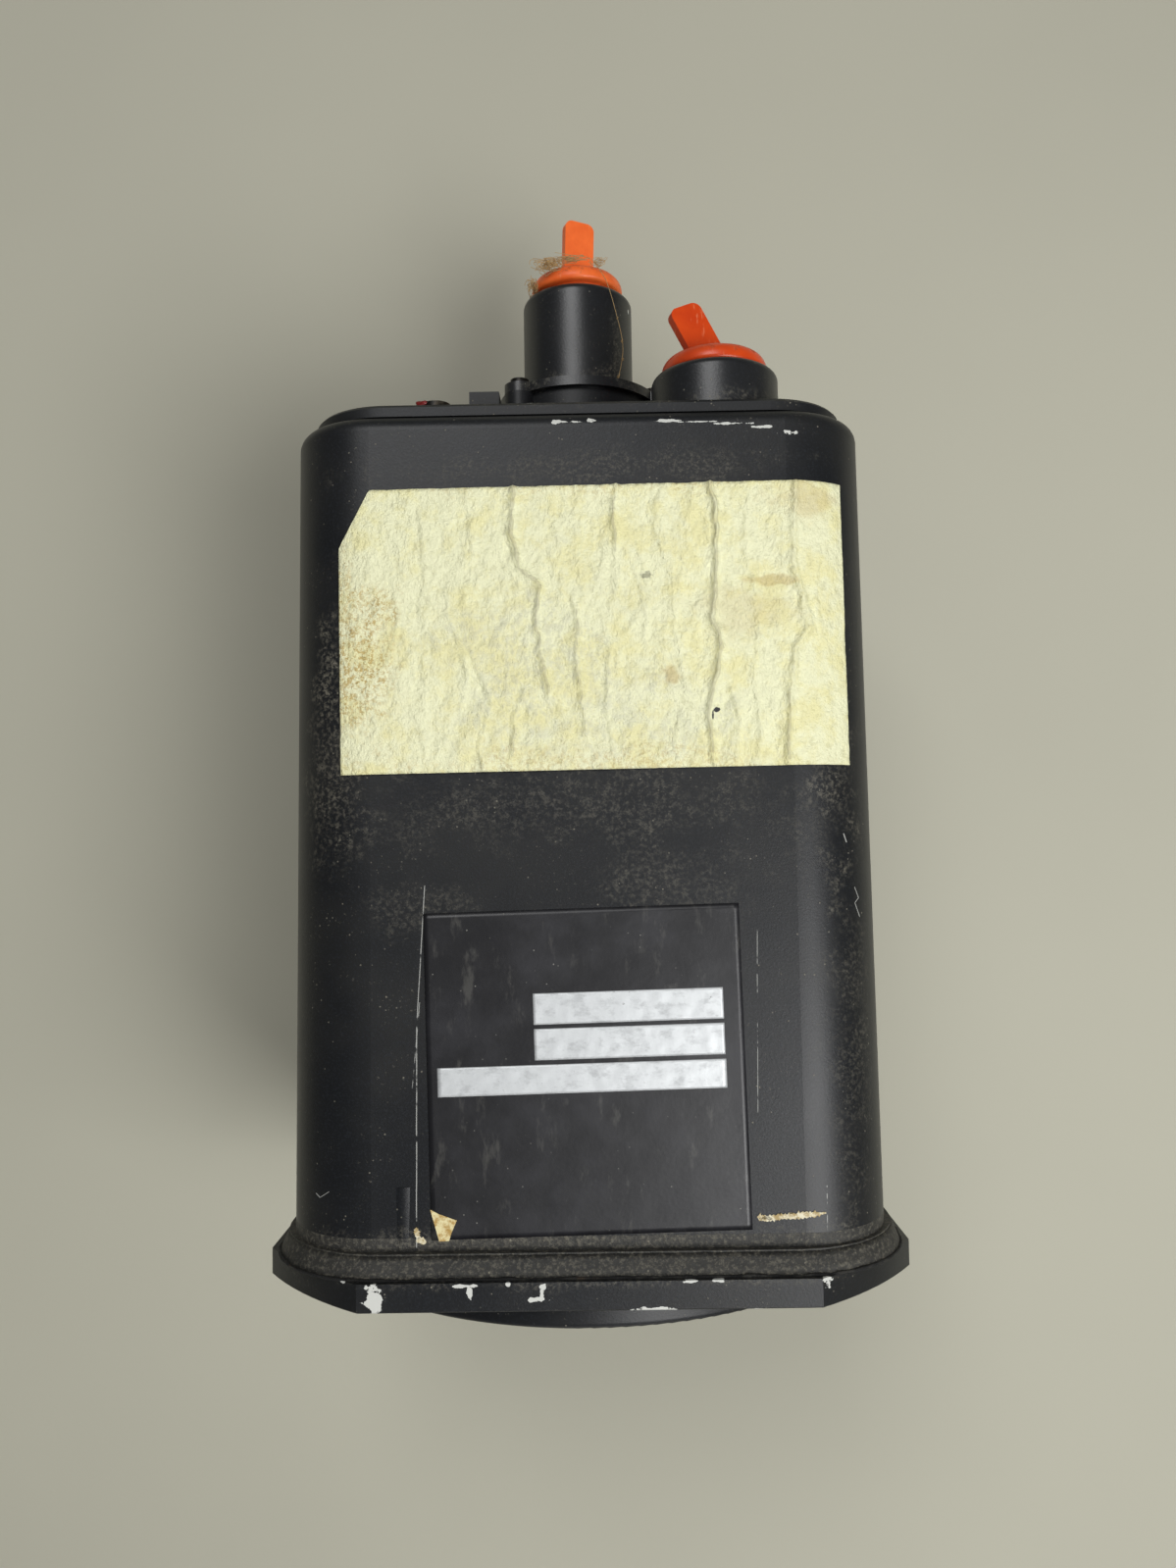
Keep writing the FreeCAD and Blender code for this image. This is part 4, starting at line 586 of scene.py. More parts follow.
class INDICATOR_OT_case_paint(Operator):
    """Paints the case, the cover, the bezel and the ports, with their chips, scratches and dust"""

    bl_idname = "indicator.case_paint"
    bl_label = "Case paint"

    def execute(self, context):
        paint = context.scene.indicator_paint
        dress(self.case(paint), "case_shell")
        dress(self.bezel(paint), "front_bezel")
        dress(self.cover(paint), "rear_cover")
        dress(self.ports(paint), "inlet_port", "vacuum_port")
        return {"FINISHED"}

    def case(self, paint):
        chips = [
            ((-2.4, 108.5, 36.7), (0.7, 0.35, 1.0)),
            ((-0.6, 108.5, 36.7), (1.3, 0.16, 1.0)),
            ((1.8, 108.6, 36.7), (0.6, 0.45, 1.0)),
            ((11.4, 108.4, 36.8), (2.0, 0.22, 1.0)),
            ((15.6, 108.2, 36.8), (2.4, 0.12, 1.0)),
            ((20.0, 107.9, 36.8), (2.6, 0.16, 1.0)),
            ((23.6, 107.4, 36.8), (1.6, 0.2, 1.0)),
            ((27.1, 106.6, 36.2), (1.5, 0.45, 1.4)),
            ((30.6, 105.4, 34.6), (0.5, 0.3, 1.0)),
        ]
        strokes = [
            ((-19.6, 50.3), (-20.7, 32.7), 0.07, 0.42),
            ((-20.7, 32.7), (-20.9, 6.6), 0.08, 0.40),
            ((-20.3, 36.0), (-21.3, 25.5), 0.05, 0.46),
            ((21.3, 45.4), (20.8, 22.1), 0.05, 0.50),
            ((29.0, 13.2), (28.9, 7.9), 0.07, 0.50),
            ((-33.7, 12.5), (-33.1, 12.1), 0.08, 0.0),
            ((-33.1, 12.1), (-31.8, 13.0), 0.05, 0.0),
            ((32.6, 55.9), (33.0, 54.8), 0.10, 0.0),
            ((34.0, 49.2), (34.6, 47.8), 0.06, 0.0),
            ((34.6, 47.8), (34.0, 47.2), 0.06, 0.0),
            ((34.0, 47.2), (34.7, 45.4), 0.06, 0.0),
        ]
        grime = [
            ((0.0, 7.9, 38.0), (46.0, 1.4, 3.0), 0.26),
            ((-31.0, 68.0, 36.0), (6.0, 22.0, 8.0), 0.42),
            ((-32.0, 76.0, 34.0), (3.0, 9.0, 6.0), 0.35),
            ((0.0, 60.0, 38.0), (40.0, 6.0, 4.0), 0.22),
            ((12.0, 50.0, 38.0), (14.0, 6.0, 3.0), 0.22),
            ((-20.0, 47.0, 38.0), (10.0, 4.0, 3.0), 0.20),
            ((31.5, 66.0, 34.0), (4.0, 24.0, 9.0), 0.32),
            ((32.0, 30.0, 34.0), (5.0, 28.0, 9.0), 0.22),
            ((0.0, 102.5, 38.0), (36.0, 3.0, 4.0), 0.25),
        ]
        return enamel("case_enamel", paint, 0.41, chips, strokes, grime, SAND_CAST)

    def bezel(self, paint):
        chips = [
            ((-25.6, 1.6, 41.2), (1.0, 1.6, 1.2)),
            ((-15.0, 3.1, 41.2), (1.7, 0.22, 0.8)),
            ((-14.2, 2.4, 41.2), (0.38, 0.75, 0.8)),
            ((-9.6, 3.2, 41.2), (0.3, 0.25, 0.8)),
            ((-5.4, 2.9, 41.2), (0.45, 0.35, 0.8)),
            ((-5.6, 2.2, 41.2), (0.22, 0.6, 0.8)),
            ((-6.3, 1.4, 41.2), (1.1, 0.3, 0.8)),
            ((28.6, 3.2, 41.2), (1.3, 0.4, 0.8)),
            ((28.4, 2.6, 41.2), (0.5, 0.6, 0.8)),
            ((33.6, 2.4, 39.8), (0.5, 0.9, 1.6)),
            ((33.0, 1.2, 40.0), (0.4, 1.2, 1.0)),
            ((7.6, 0.0, 41.2), (2.4, 0.35, 0.8)),
            ((-32.2, 3.4, 38.0), (0.35, 0.4, 0.6)),
            ((-30.8, 3.4, 39.2), (0.25, 0.3, 0.5)),
            ((-29.6, 3.3, 40.0), (0.6, 0.2, 0.4)),
            ((12.0, 3.3, 41.2), (1.0, 0.2, 0.6)),
            ((15.2, 3.3, 41.2), (0.8, 0.2, 0.6)),
            ((36.4, 2.2, 37.4), (2.0, 0.2, 2.2)),
            ((20.0, -0.1, 41.0), (0.8, 0.25, 0.6)),
            ((-38.6, 3.3, 33.6), (0.5, 0.3, 0.8)),
            ((39.6, 3.3, 30.0), (0.4, 0.3, 1.4)),
        ]
        grime = [
            ((0.0, 3.4, 40.5), (44.0, 1.2, 3.0), 0.30),
            ((-38.0, 2.0, 20.0), (4.0, 3.0, 24.0), 0.25),
        ]
        return enamel("bezel_enamel", paint, 0.40, chips, grime=grime)

    def cover(self, paint):
        chips = [((-6.0, 112.0, 34.9), (0.4, 0.25, 0.3)), ((24.0, 112.0, 33.0), (0.4, 0.3, 0.4))]
        grime = [
            ((0.0, 112.0, 10.0), (17.0, 3.0, 10.0), 0.6),
            ((18.8, 112.0, 16.0), (12.0, 2.0, 7.0), 0.45),
            ((0.0, 112.0, 33.0), (40.0, 1.4, 3.5), 0.35),
        ]
        return enamel("cover_enamel", paint, 0.46, chips, grime=grime)

    def ports(self, paint):
        chips = [((7.9, 138.5, 3.0), (0.25, 0.4, 0.3)), ((25.0, 117.9, 31.5), (0.3, 0.2, 0.3))]
        grime = [
            ((-5.0, 124.6, 10.0), (8.0, 2.4, 5.0), 0.45),
            ((6.0, 125.4, 8.0), (8.0, 3.4, 6.0), 0.40),
            ((18.8, 112.6, 30.0), (12.0, 2.2, 10.0), 0.30),
            ((6.3, 131.0, 6.5), (1.6, 7.0, 3.0), 0.35),
        ]
        finish = enamel("port_enamel", paint, 0.36, chips, grime=grime)
        finish.shader.inputs["Specular IOR Level"].default_value = 0.6
        return finish


# ---------------------------------------------------------------- paper label

# The line of each crease, as x and y in millimetres, its width and its share of the sharpest's height.
CREASES = (
    (((-8.1, 100.4), (-8.4, 94.0), (-7.4, 89.7), (-4.9, 87.5), (-5.4, 83.0), (-4.1, 73.6)), 0.9, 0.75),
    (((4.9, 100.4), (4.4, 95.4), (4.7, 91.6)), 0.7, 0.7),
    (((16.6, 100.4), (17.3, 95.8), (17.2, 88.4), (16.6, 83.2), (17.6, 79.0)), 0.8, 1.0),
    (((17.6, 79.0), (16.7, 75.2), (16.0, 71.5), (16.4, 65.0)), 0.8, 0.9),
    (((27.4, 100.0), (26.8, 90.0), (28.8, 82.0), (26.7, 78.7), (26.0, 72.4), (25.6, 65.3)), 1.1, 0.8),
    (((-0.8, 86.0), (0.0, 82.4), (-0.5, 78.7), (0.7, 68.8)), 0.8, 0.6),
    (((-13.5, 79.4), (-12.1, 76.0), (-11.0, 72.8)), 0.6, 0.42),
    (((-7.0, 73.6), (-8.2, 70.7), (-8.5, 65.9)), 0.9, 0.5),
    (((7.0, 90.0), (8.5, 84.0), (8.0, 79.0)), 0.7, 0.34),
    (((12.6, 88.0), (11.8, 82.0), (13.2, 74.0)), 0.6, 0.32),
    (((21.5, 99.0), (21.0, 92.0), (22.0, 86.0)), 0.6, 0.3),
    (((-20.0, 97.0), (-19.0, 90.0), (-20.0, 84.0)), 0.6, 0.28),
    (((4.0, 80.0), (3.2, 72.0), (4.2, 66.0)), 0.6, 0.32),
    (((-14.0, 99.0), (-13.2, 92.0), (-14.4, 85.0)), 0.6, 0.3),
    (((22.5, 82.0), (21.6, 75.0), (22.4, 68.0)), 0.5, 0.32),
    (((-16.6, 84.0), (-14.8, 80.0), (-13.9, 76.2), (-15.0, 72.0)), 0.5, 0.34),
    (((-3.0, 97.0), (-2.2, 92.0), (-3.2, 88.0)), 0.5, 0.26),
    (((10.4, 99.5), (9.6, 95.0), (10.6, 91.0)), 0.5, 0.3),
    (((-23.5, 90.0), (-22.6, 84.0), (-23.8, 78.0)), 0.5, 0.22),
    (((18.8, 74.0), (19.8, 70.0), (19.2, 65.5)), 0.6, 0.4),
    (((-11.6, 70.4), (-12.6, 67.6), (-12.2, 64.6)), 0.5, 0.34),
    (((12.4, 70.6), (11.6, 67.8), (12.2, 65.0)), 0.5, 0.36),
    (((30.2, 92.0), (29.4, 86.0), (30.4, 80.0)), 0.5, 0.28),
)

# Stains as (centre, radii), (raggedness, grain, softness), strength and whether they break into specks.
STAINS = (
    (((-27.5, 79.0, 37.6), (6.5, 13.0, 6.0)), (1.0, 4.0, 0.7), 0.85, True),
    (((0.0, 64.0, 37.6), (40.0, 4.0, 6.0)), (1.0, 5.0, 0.7), 0.40, True),
    (((-29.5, 80.0, 36.6), (1.6, 18.0, 6.0)), (1.0, 3.0, 0.6), 0.6, True),
    (((0.0, 100.6, 37.6), (40.0, 2.6, 6.0)), (1.0, 5.0, 0.8), 0.35, True),
    (((23.8, 87.7, 37.5), (5.0, 0.8, 3.0)), (1.0, 2.5, 0.5), 0.45, False),
    (((21.0, 83.8, 37.5), (8.0, 4.6, 3.0)), (0.9, 4.0, 0.6), 0.22, False),
    (((11.4, 75.8, 37.6), (1.7, 1.5, 2.0)), (0.9, 1.6, 0.6), 0.5, False),
    (((28.0, 98.0, 36.4), (6.0, 3.4, 4.0)), (1.0, 3.0, 0.7), 0.35, False),
)

# Height of the case's top at the panel face, and its rise per millimetre towards the rear.
CASE_TOP = (38.40, -0.0075)

# The small folds: how tall, how many to a millimetre across and along the case, and seed.
FOLDS = ((0.17, 0.27, 0.12, 1.0), (0.10, 0.62, 0.45, 5.0), (0.05, 1.6, 1.3, 8.0))


class INDICATOR_OT_paper_label(Operator):
    """Lays the crumpled, stained cream label on the top of the case"""

    bl_idname = "indicator.paper_label"
    bl_label = "Paper label"

    def execute(self, context):
        sizes = context.scene.indicator_paper
        find = top_finder("case_shell")
        middle = Vector((sizes.middle, (sizes.front + sizes.rear) / 2))
        half_width = sizes.width / 2
        half_length = (sizes.rear - sizes.front) / 2
        slant = Matrix.Rotation(sizes.slant, 2)

        def place(across, along):
            side = (2 * across - 1) * half_width
            run = (2 * along - 1) * half_length
            room = (side + half_width) / sizes.cut_side
            if room < 1:
                run = min(run, half_length - sizes.cut_length * (1 - room))
                run = -half_length + (run + half_length) * self.wave(side, run)
            x, y = middle + slant @ Vector((side, run))
            top, normal = find(x, y)
            return top + normal * (sizes.lift + self.height(x / MM, y / MM, sizes))

        shape = grid_sheet(250, 90, place, 0.05 * MM)
        add_piece("paper_label", shape, self.finish(sizes), "case")
        return {"FINISHED"}

    def wave(self, side, run):
        return 1.0 + 0.004 * noise.noise(Vector((side * 300, run * 300, 4.0)))

    def height(self, x, y, sizes):
        """How far the paper stands off the case, in metres, at a place in millimetres."""
        tallest = 0.0
        shifted = x + 0.35 * noise.noise(Vector((x * 0.6, y * 0.6, 9.0)))
        for line, width, share_of_height in CREASES:
            away = distance_to_line(shifted, y, line)
            if away < 2.0 * width:
                ridge = max(0.0, 1.0 - away / (0.55 * width))
                swell = max(0.0, 1.0 - away / (2.0 * width)) ** 2
                tallest = max(tallest, share_of_height * (0.88 * ridge + 0.30 * swell))
        folds = 0.0
        for tall, across, along, seed in FOLDS:
            folds += tall * (1.0 - 3.0 * abs(noise.noise(Vector((x * across, y * along, seed)))))
        calm = 0.30 + 0.60 * min(1.0, max(0.0, (30.0 - abs(x)) / 9.0))  # low at the two ends
        return max(0.0, tallest * sizes.crease + folds * calm * MM + 0.10 * MM)

    def stains(self, finish):
        speckle = finish.noise(0.6, 4.0, 0.8).fade(0.46, 0.60)
        marks = []
        for place, edge, strength, speckled in STAINS:
            mark = finish.spot(*place, *edge)
            marks.append((mark * speckle if speckled else mark) * strength)
        return functools.reduce(Shade.most, marks)

    def finish(self, sizes):
        finish = Finish("aged_paper", roughness=0.6)
        cloud = finish.noise(4.5, 4.0, 0.7)
        wrinkle = finish.noise(1.3, 4.0, 0.7, (0.85, 1.25, 1.0))
        folds = finish.noise(3.6, 3.0, 0.6, (0.8, 1.3, 1.0), "RIDGED_MULTIFRACTAL")
        colour = finish.mix(cloud.fade(0.42, 0.66) * 0.7, sizes.paper_tint, linear(236, 229, 166))
        grey = finish.spot((-5.0, 80.0, 37.6), (14.0, 13.0, 6.0), 1.2, 6.0, 0.7)
        grey = grey.most(finish.spot((2.0, 71.0, 37.6), (24.0, 7.0, 6.0), 1.2, 6.0, 0.7))
        colour = finish.mix(grey * wrinkle.fade(0.42, 0.60) * 0.40, colour, linear(196, 196, 176))
        # Darker tan where the fine wrinkles sink: painted shade in their hollows.
        colour = finish.mix(wrinkle.fade(0.46, 0.32) * 0.30, colour, linear(186, 182, 138))
        stain = self.stains(finish)
        colour = finish.mix(stain, colour, sizes.stain_tint)
        lift = finish.z - (CASE_TOP[0] + CASE_TOP[1] * finish.y)
        # Darker on the flanks of the tall creases: painted shade beside their ridges.
        crease_shade = lift.fade(0.46, 0.56) * lift.fade(0.95, 0.72) * (abs(finish.x) < 26.0)
        colour = finish.mix(crease_shade * 0.34, colour, linear(150, 142, 112))
        tear = finish.spot((16.9, 71.5, 37.7), (0.42, 0.34, 2.0), 0.9, 0.6)
        tail = finish.spot((16.4, 70.8, 37.7), (0.16, 0.7, 2.0), 0.9, 0.6)
        scuff = finish.spot((8.4, 88.6, 37.7), (0.9, 0.5, 2.0), 1.2, 0.7, 0.4) * 0.5
        colour = finish.mix(tear.most(tail).most(scuff), colour, linear(48, 48, 50))
        finish.colour(colour)
        finish.gloss((0.5 + stain * 0.25 + (cloud - 0.5) * 0.2).clamp())
        grain = finish.noise(0.45, 3.0, 0.7)
        finish.relief(wrinkle * 0.8 + folds.clamp() * 0.3 + grain * 0.28 + cloud * 0.5, 0.75, 0.9)
        return finish


# ---------------------------------------------------------------- data plate

# Middle and half sizes of the three blank fields, in millimetres from the plate's middle.
FIELDS = ((5.4, 7.6, 11.65, 1.9), (5.4, 3.3, 11.65, 1.9), (-0.55, -0.9, 17.65, 1.75))

# Corners of the patch of glue where the plate is torn, in millimetres from its middle.
TORN_CORNER = (
    (-19.5, -16.0),
    (-18.4, -16.6),
    (-16.3, -17.4),
    (-17.0, -18.9),
    (-17.3, -19.8),
    (-18.5, -19.8),
)


class INDICATOR_OT_data_plate(Operator):
    """Lays the bare black plate, its three blank silver fields and its torn corner"""

    bl_idname = "indicator.data_plate"
    bl_label = "Data plate"

    def execute(self, context):
        sizes = context.scene.indicator_plate
        find = top_finder("case_shell")
        middle = Vector((sizes.middle_x, sizes.middle_y))
        slant = Matrix.Rotation(sizes.slant, 2)

        def on_case(side, run, lift):
            x, y = middle + slant @ Vector((side, run))
            top, normal = find(x, y)
            return top + normal * lift

        def plate(across, along):
            side = (across - 0.5) * sizes.width
            run = (along - 0.5) * sizes.height
            wave = 0.018 * MM * noise.noise(Vector((side * 260, run * 260, 2.0)))
            rim = max(abs(across - 0.5), abs(along - 0.5))
            curl = 0.02 * MM * max(0.0, rim - 0.46) / 0.04
            return on_case(side, run, sizes.lift + wave + curl)

        add_piece("data_plate", grid_sheet(60, 60, plate, 0.06 * MM), self.foil(sizes), "case")
        silver = self.silver(sizes)
        for number, field in enumerate(FIELDS, 1):
            shape = self.field(number, field, on_case, sizes.lift + 0.055 * MM)
            add_piece(f"plate_field_{number}", shape, silver, "case")
        self.torn_corner(on_case, sizes.lift + 0.05 * MM)
        return {"FINISHED"}

    def field(self, number, field, on_case, lift):
        """A blank field, a little dented."""
        side, run, half_side, half_run = field

        def place(across, along):
            x = (side + (2 * across - 1) * half_side) * MM
            y = (run + (2 * along - 1) * half_run) * MM
            dent = 0.03 * MM * noise.noise(Vector((x * 700, y * 700, number * 3.0)))
            return on_case(x, y, lift + dent)

        return grid_sheet(70, 12, place, 0.03 * MM)

    def torn_corner(self, on_case, lift):
        finish = Finish("glue_patch", roughness=0.5)
        patchy = finish.noise(1.1, 4.0, 0.7).fade(0.4, 0.62)
        finish.colour(finish.mix(patchy, linear(226, 214, 164), linear(176, 142, 76)))
        finish.relief(finish.noise(0.5, 3.0), 0.08)
        shape = bmesh.new()
        points = [on_case(x * MM, y * MM, lift) for x, y in TORN_CORNER]
        flat_outline(shape, points, 0.05 * MM, UP)
        add_piece("torn_corner", shape, finish, "case", smooth=False)

    def foil(self, sizes):
        finish = Finish("black_foil", roughness=0.34)
        cloud = finish.noise(7.0, 4.0, 0.6)
        lint = finish.cells(1.3).fade(0.09, 0.03) * finish.noise(5.0, 3.0).fade(0.46, 0.6)
        rub = finish.noise(2.2, 4.0, 0.7, (1.0, 3.0, 1.0)).fade(0.56, 0.74) * 0.10
        colour = finish.mix(cloud.fade(0.4, 0.75), sizes.plate_tint, scaled(sizes.plate_tint, 2.1))
        finish.colour(finish.mix((lint * 0.5 + rub).clamp(), colour, linear(170, 168, 158)))
        finish.gloss((0.28 + cloud * 0.2 + lint * 0.3).clamp())
        finish.relief(finish.noise(3.5, 3.0) + finish.noise(0.5, 2.0) * 0.3, 0.06, 0.5)
        return finish

    def silver(self, sizes):
        finish = Finish("silver_foil", roughness=0.4, metallic=0.35)
        cloud = finish.noise(1.3, 5.0, 0.7, (1.6, 1.0, 1.0))
        colour = finish.mix(cloud.fade(0.46, 0.70), sizes.field_tint, scaled(sizes.field_tint, 0.74))
        worn = finish.noise(0.8, 4.0, 0.75).fade(0.64, 0.72) * finish.noise(4.0, 2.0).fade(0.5, 0.6)
        finish.colour(finish.mix(worn * 0.8, colour, linear(74, 70, 64)))
        finish.gloss((0.32 + cloud * 0.25).clamp())
        finish.relief(finish.noise(1.6, 3.0), 0.06, 0.6)
        return finish


# ---------------------------------------------------------------- residue, sealant and marks

# Flakes of old glue: name, the two ends of the middle line, half the width, steps and seed.
FLAKES = (
    ("glue_strip", (20.6, 9.5), (28.8, 10.0), 0.50, 54, 3.0),
    ("glue_strip_end", (20.4, 9.7), (22.2, 9.4), 0.55, 12, 7.0),
    ("glue_corner", (-20.9, 9.0), (-20.7, 7.6), 0.42, 12, 11.0),
    ("glue_corner_low", (-20.9, 7.6), (-19.7, 7.2), 0.55, 9, 15.0),
)

# The sealant's section: distance outside the case and behind the panel face, in millimetres.
SEALANT_PROFILE = ((0.03, 5.95), (0.34, 5.3), (0.72, 4.45), (1.18, 3.42), (-0.3, 3.42), (-0.3, 5.6))
SEALANT_CORNER = 14.2 * MM  # radius of its rounded corners
SEALANT_STRAY = 0.06  # how far its surface strays in and out, in millimetres

# The dark tube of painted shadow, with brown dirt, in the gap beside it: the same two distances, its
# stray, and the middle and swing of its radius.
GAP_PLACE = (1.22, 3.46)
GAP_STRAY = 0.10
GAP_RADIUS = (0.20, 0.24)

# Grime packed round the inlet port: name, place, half sizes and seed.
LUMPS = (
    ("dirt_lump_1", (-10.6, 112.2, 9.0), (1.6, 0.7, 1.3), 5.0),
    ("dirt_lump_2", (10.2, 112.2, 12.0), (1.8, 0.6, 1.2), 8.0),
    ("dirt_lump_3", (4.5, 112.2, 13.6), (2.6, 0.6, 1.0), 12.0),
    ("dirt_lump_4", (-5.5, 112.1, 13.2), (2.2, 0.5, 1.0), 16.0),
)


class INDICATOR_OT_residue(Operator):
    """Lays the flakes of old glue and paper beside the plate"""

    bl_idname = "indicator.residue"
    bl_label = "Residue"

    def execute(self, context):
        find = top_finder("case_shell")
        finish = Finish("old_glue", roughness=0.6)
        patchy = finish.noise(0.8, 4.0, 0.7).fade(0.42, 0.62)
        finish.colour(finish.mix(patchy, linear(226, 219, 190), linear(168, 146, 96)))
        finish.relief(finish.noise(0.4, 3.0), 0.1)
        for name, start, end, half, count, seed in FLAKES:
            shape = self.ragged_strip(find, Vector(start), Vector(end), half, count, seed)
            add_piece(name, shape, finish, "case", smooth=False)
        return {"FINISHED"}

    def ragged_strip(self, find, start, end, half, count, seed):
        """A flake along a line on the top of the case, with ragged sides."""
        run = (end - start).normalized()
        aside = Vector((-run.y, run.x))
        edges = ([], [])
        for index in range(count + 1):
            middle = start.lerp(end, index / count)
            for side, edge in zip((1, -1), edges):
                wild = 0.45 + 1.3 * abs(noise.noise(Vector((index * 1.7, side * 4.0, seed))))
                taper = min(1.0, 4 * index / count + 0.2, 4 * (count - index) / count + 0.2)
                x, y = (middle + aside * side * half * wild * taper) * MM
                edge.append(find(x, y)[0])
        shape = bmesh.new()
        outline = edges[0] + list(reversed(edges[1]))
        flat_outline(shape, outline, 0.09 * MM, UP)
        bmesh.ops.triangulate(shape, faces=[face for face in shape.faces if len(face.verts) > 4])
        return shape


class INDICATOR_OT_sealant(Operator):
    """Runs the painted-over fillet of sealant, and a dark tube of painted shadow with brown dirt in the
    gap beside it, round the flange joint
    """

    bl_idname = "indicator.sealant"
    bl_label = "Sealant bead"

    def execute(self, context):
        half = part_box("case_shell")[1].x
        paint = context.scene.indicator_paint
        fillet = enamel("sealant_enamel", paint, 0.5, cast=SAND_CAST)
        rings = [self.round_square(half, *place, SEALANT_STRAY) for place in SEALANT_PROFILE]
        add_piece("sealant_bead", joined_rings(rings), fillet, "case")
        # The tube in the gap is painted shadow: near-black with greyer patches, plus real brown dirt.
        finish = Finish("gap_shadow_and_dirt", roughness=0.85)
        patch = finish.noise(2.6, 4.0, 0.65)
        brown = finish.noise(7.0, 3.0, 0.6).fade(0.62, 0.72) * 0.35
        colour = finish.mix(patch.fade(0.50, 0.75), linear(15, 15, 15), linear(58, 57, 52))
        finish.colour(finish.mix(brown, colour, linear(92, 70, 50)))
        finish.relief(finish.noise(0.5, 4.0, 0.7), 0.25)
        points = self.round_square(half, *GAP_PLACE, GAP_STRAY)
        tube = closed_tube(points, lambda index: self.radius(index, *GAP_RADIUS))
        add_piece("gap_shadow_tube", tube, finish, "case")
        return {"FINISHED"}

    def radius(self, index, middle, swing):
        """The gap's uneven radius at a numbered point along it, in metres."""
        slow = noise.noise(Vector((index * 0.11, 2.0, 7.0)))
        quick = noise.noise(Vector((index * 0.53, 6.0, 3.0)))
        return max(0.06, middle + swing * (slow + 0.6 * quick)) * MM

    def round_square(self, half, out, level, stray):
        """Points round a square with rounded corners, out millimetres outside it, straying a little."""
        inner = half - SEALANT_CORNER
        steps_side, steps_corner = 90, 40
        places = []
        for a, b in ((1, 0), (0, 1), (-1, 0), (0, -1)):
            ahead, side = Vector((a, b)), Vector((-b, a))
            for index in range(steps_side):
                places.append((ahead * half + side * inner * (2 * index / steps_side - 1), ahead))
            centre = (ahead + side) * inner
            for index in range(steps_corner):
                turn = math.pi / 2 * index / steps_corner
                away = ahead * math.cos(turn) + side * math.sin(turn)
                places.append((centre + away * SEALANT_CORNER, away))
        points = []
        for index, (place, away) in enumerate(places):
            shift = stray * noise.noise(Vector((index * 0.31, level * 2.0, 1.0)))
            place = place + away * (out + shift) * MM
            points.append(Vector((place.x, (level + shift) * MM, place.y)))
        return points


class INDICATOR_OT_marks(Operator):
    """Adds the red locking paint on a cover screw and the grime beside the inlet port"""

    bl_idname = "indicator.marks"
    bl_label = "Locking paint and grime"

    def execute(self, context):
        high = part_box("rear_cover_screws")[1]
        finish = Finish("locking_paint", roughness=0.35)
        finish.colour(finish.mix(finish.noise(0.5, 3.0), linear(140, 26, 24), linear(88, 16, 16)))
        finish.relief(finish.noise(0.5, 3.0), 0.1)
        place = Vector((-19.9, high.y / MM - 0.25, high.z / MM - 1.2)) * MM
        add_piece("locking_paint", self.blob(place, (1.1, 0.55, 0.9), 3.0), finish, "case")
        dirt = Finish("packed_dirt", roughness=0.9)
        patchy = dirt.noise(0.8, 4.0, 0.7).fade(0.4, 0.7)
        dirt.colour(dirt.mix(patchy, linear(40, 36, 32), linear(96, 78, 60)))
        dirt.relief(dirt.noise(0.4, 4.0, 0.7), 0.2)
        for name, place, radii, seed in LUMPS:
            add_piece(name, self.blob(Vector(place) * MM, radii, seed), dirt, "case")
        return {"FINISHED"}

    def blob(self, place, radii, seed):
        """A lumpy ball with three half sizes in millimetres."""
        shape = bmesh.new()
        bmesh.ops.create_icosphere(shape, subdivisions=3, radius=1.0)
        for vertex in shape.verts:
            bulge = 1.0 + 0.35 * noise.noise(vertex.co * 1.6 + Vector((seed, 0, 0)))
            vertex.co = place + Vector(a * b for a, b in zip(vertex.co * bulge, radii)) * MM
        return shape


# ---------------------------------------------------------------- plugs and fluff

# Clumps of threads: name, middle, reach, number of threads and their radius.
CLUMPS = (
    ("fluff_rim", (-6.9, 142.6, 4.2), (1.1, 1.7, 1.4), 14, 0.040),
    ("fluff_top", (-4.4, 144.6, 6.6), (2.4, 1.2, 0.9), 22, 0.045),
    ("fluff_tab", (-1.0, 145.4, 6.9), (3.2, 0.6, 0.7), 12, 0.040),
    ("fluff_right", (3.2, 144.8, 6.8), (1.6, 0.9, 0.6), 8, 0.036),
)

# The thread that hangs down the inlet port, and its knots as a point of it and a size.
STRAND = (
    (2.6, 144.9, 6.9),
    (4.2, 142.4, 7.9),
    (5.2, 139.4, 7.9),
    (6.2, 135.6, 7.4),
    (7.0, 132.2, 6.9),
    (6.9, 129.4, 6.5),
    (6.2, 126.6, 6.9),
)
KNOTS = ((3, 0.20), (4, 0.30), (5, 0.26), (6, 0.34))


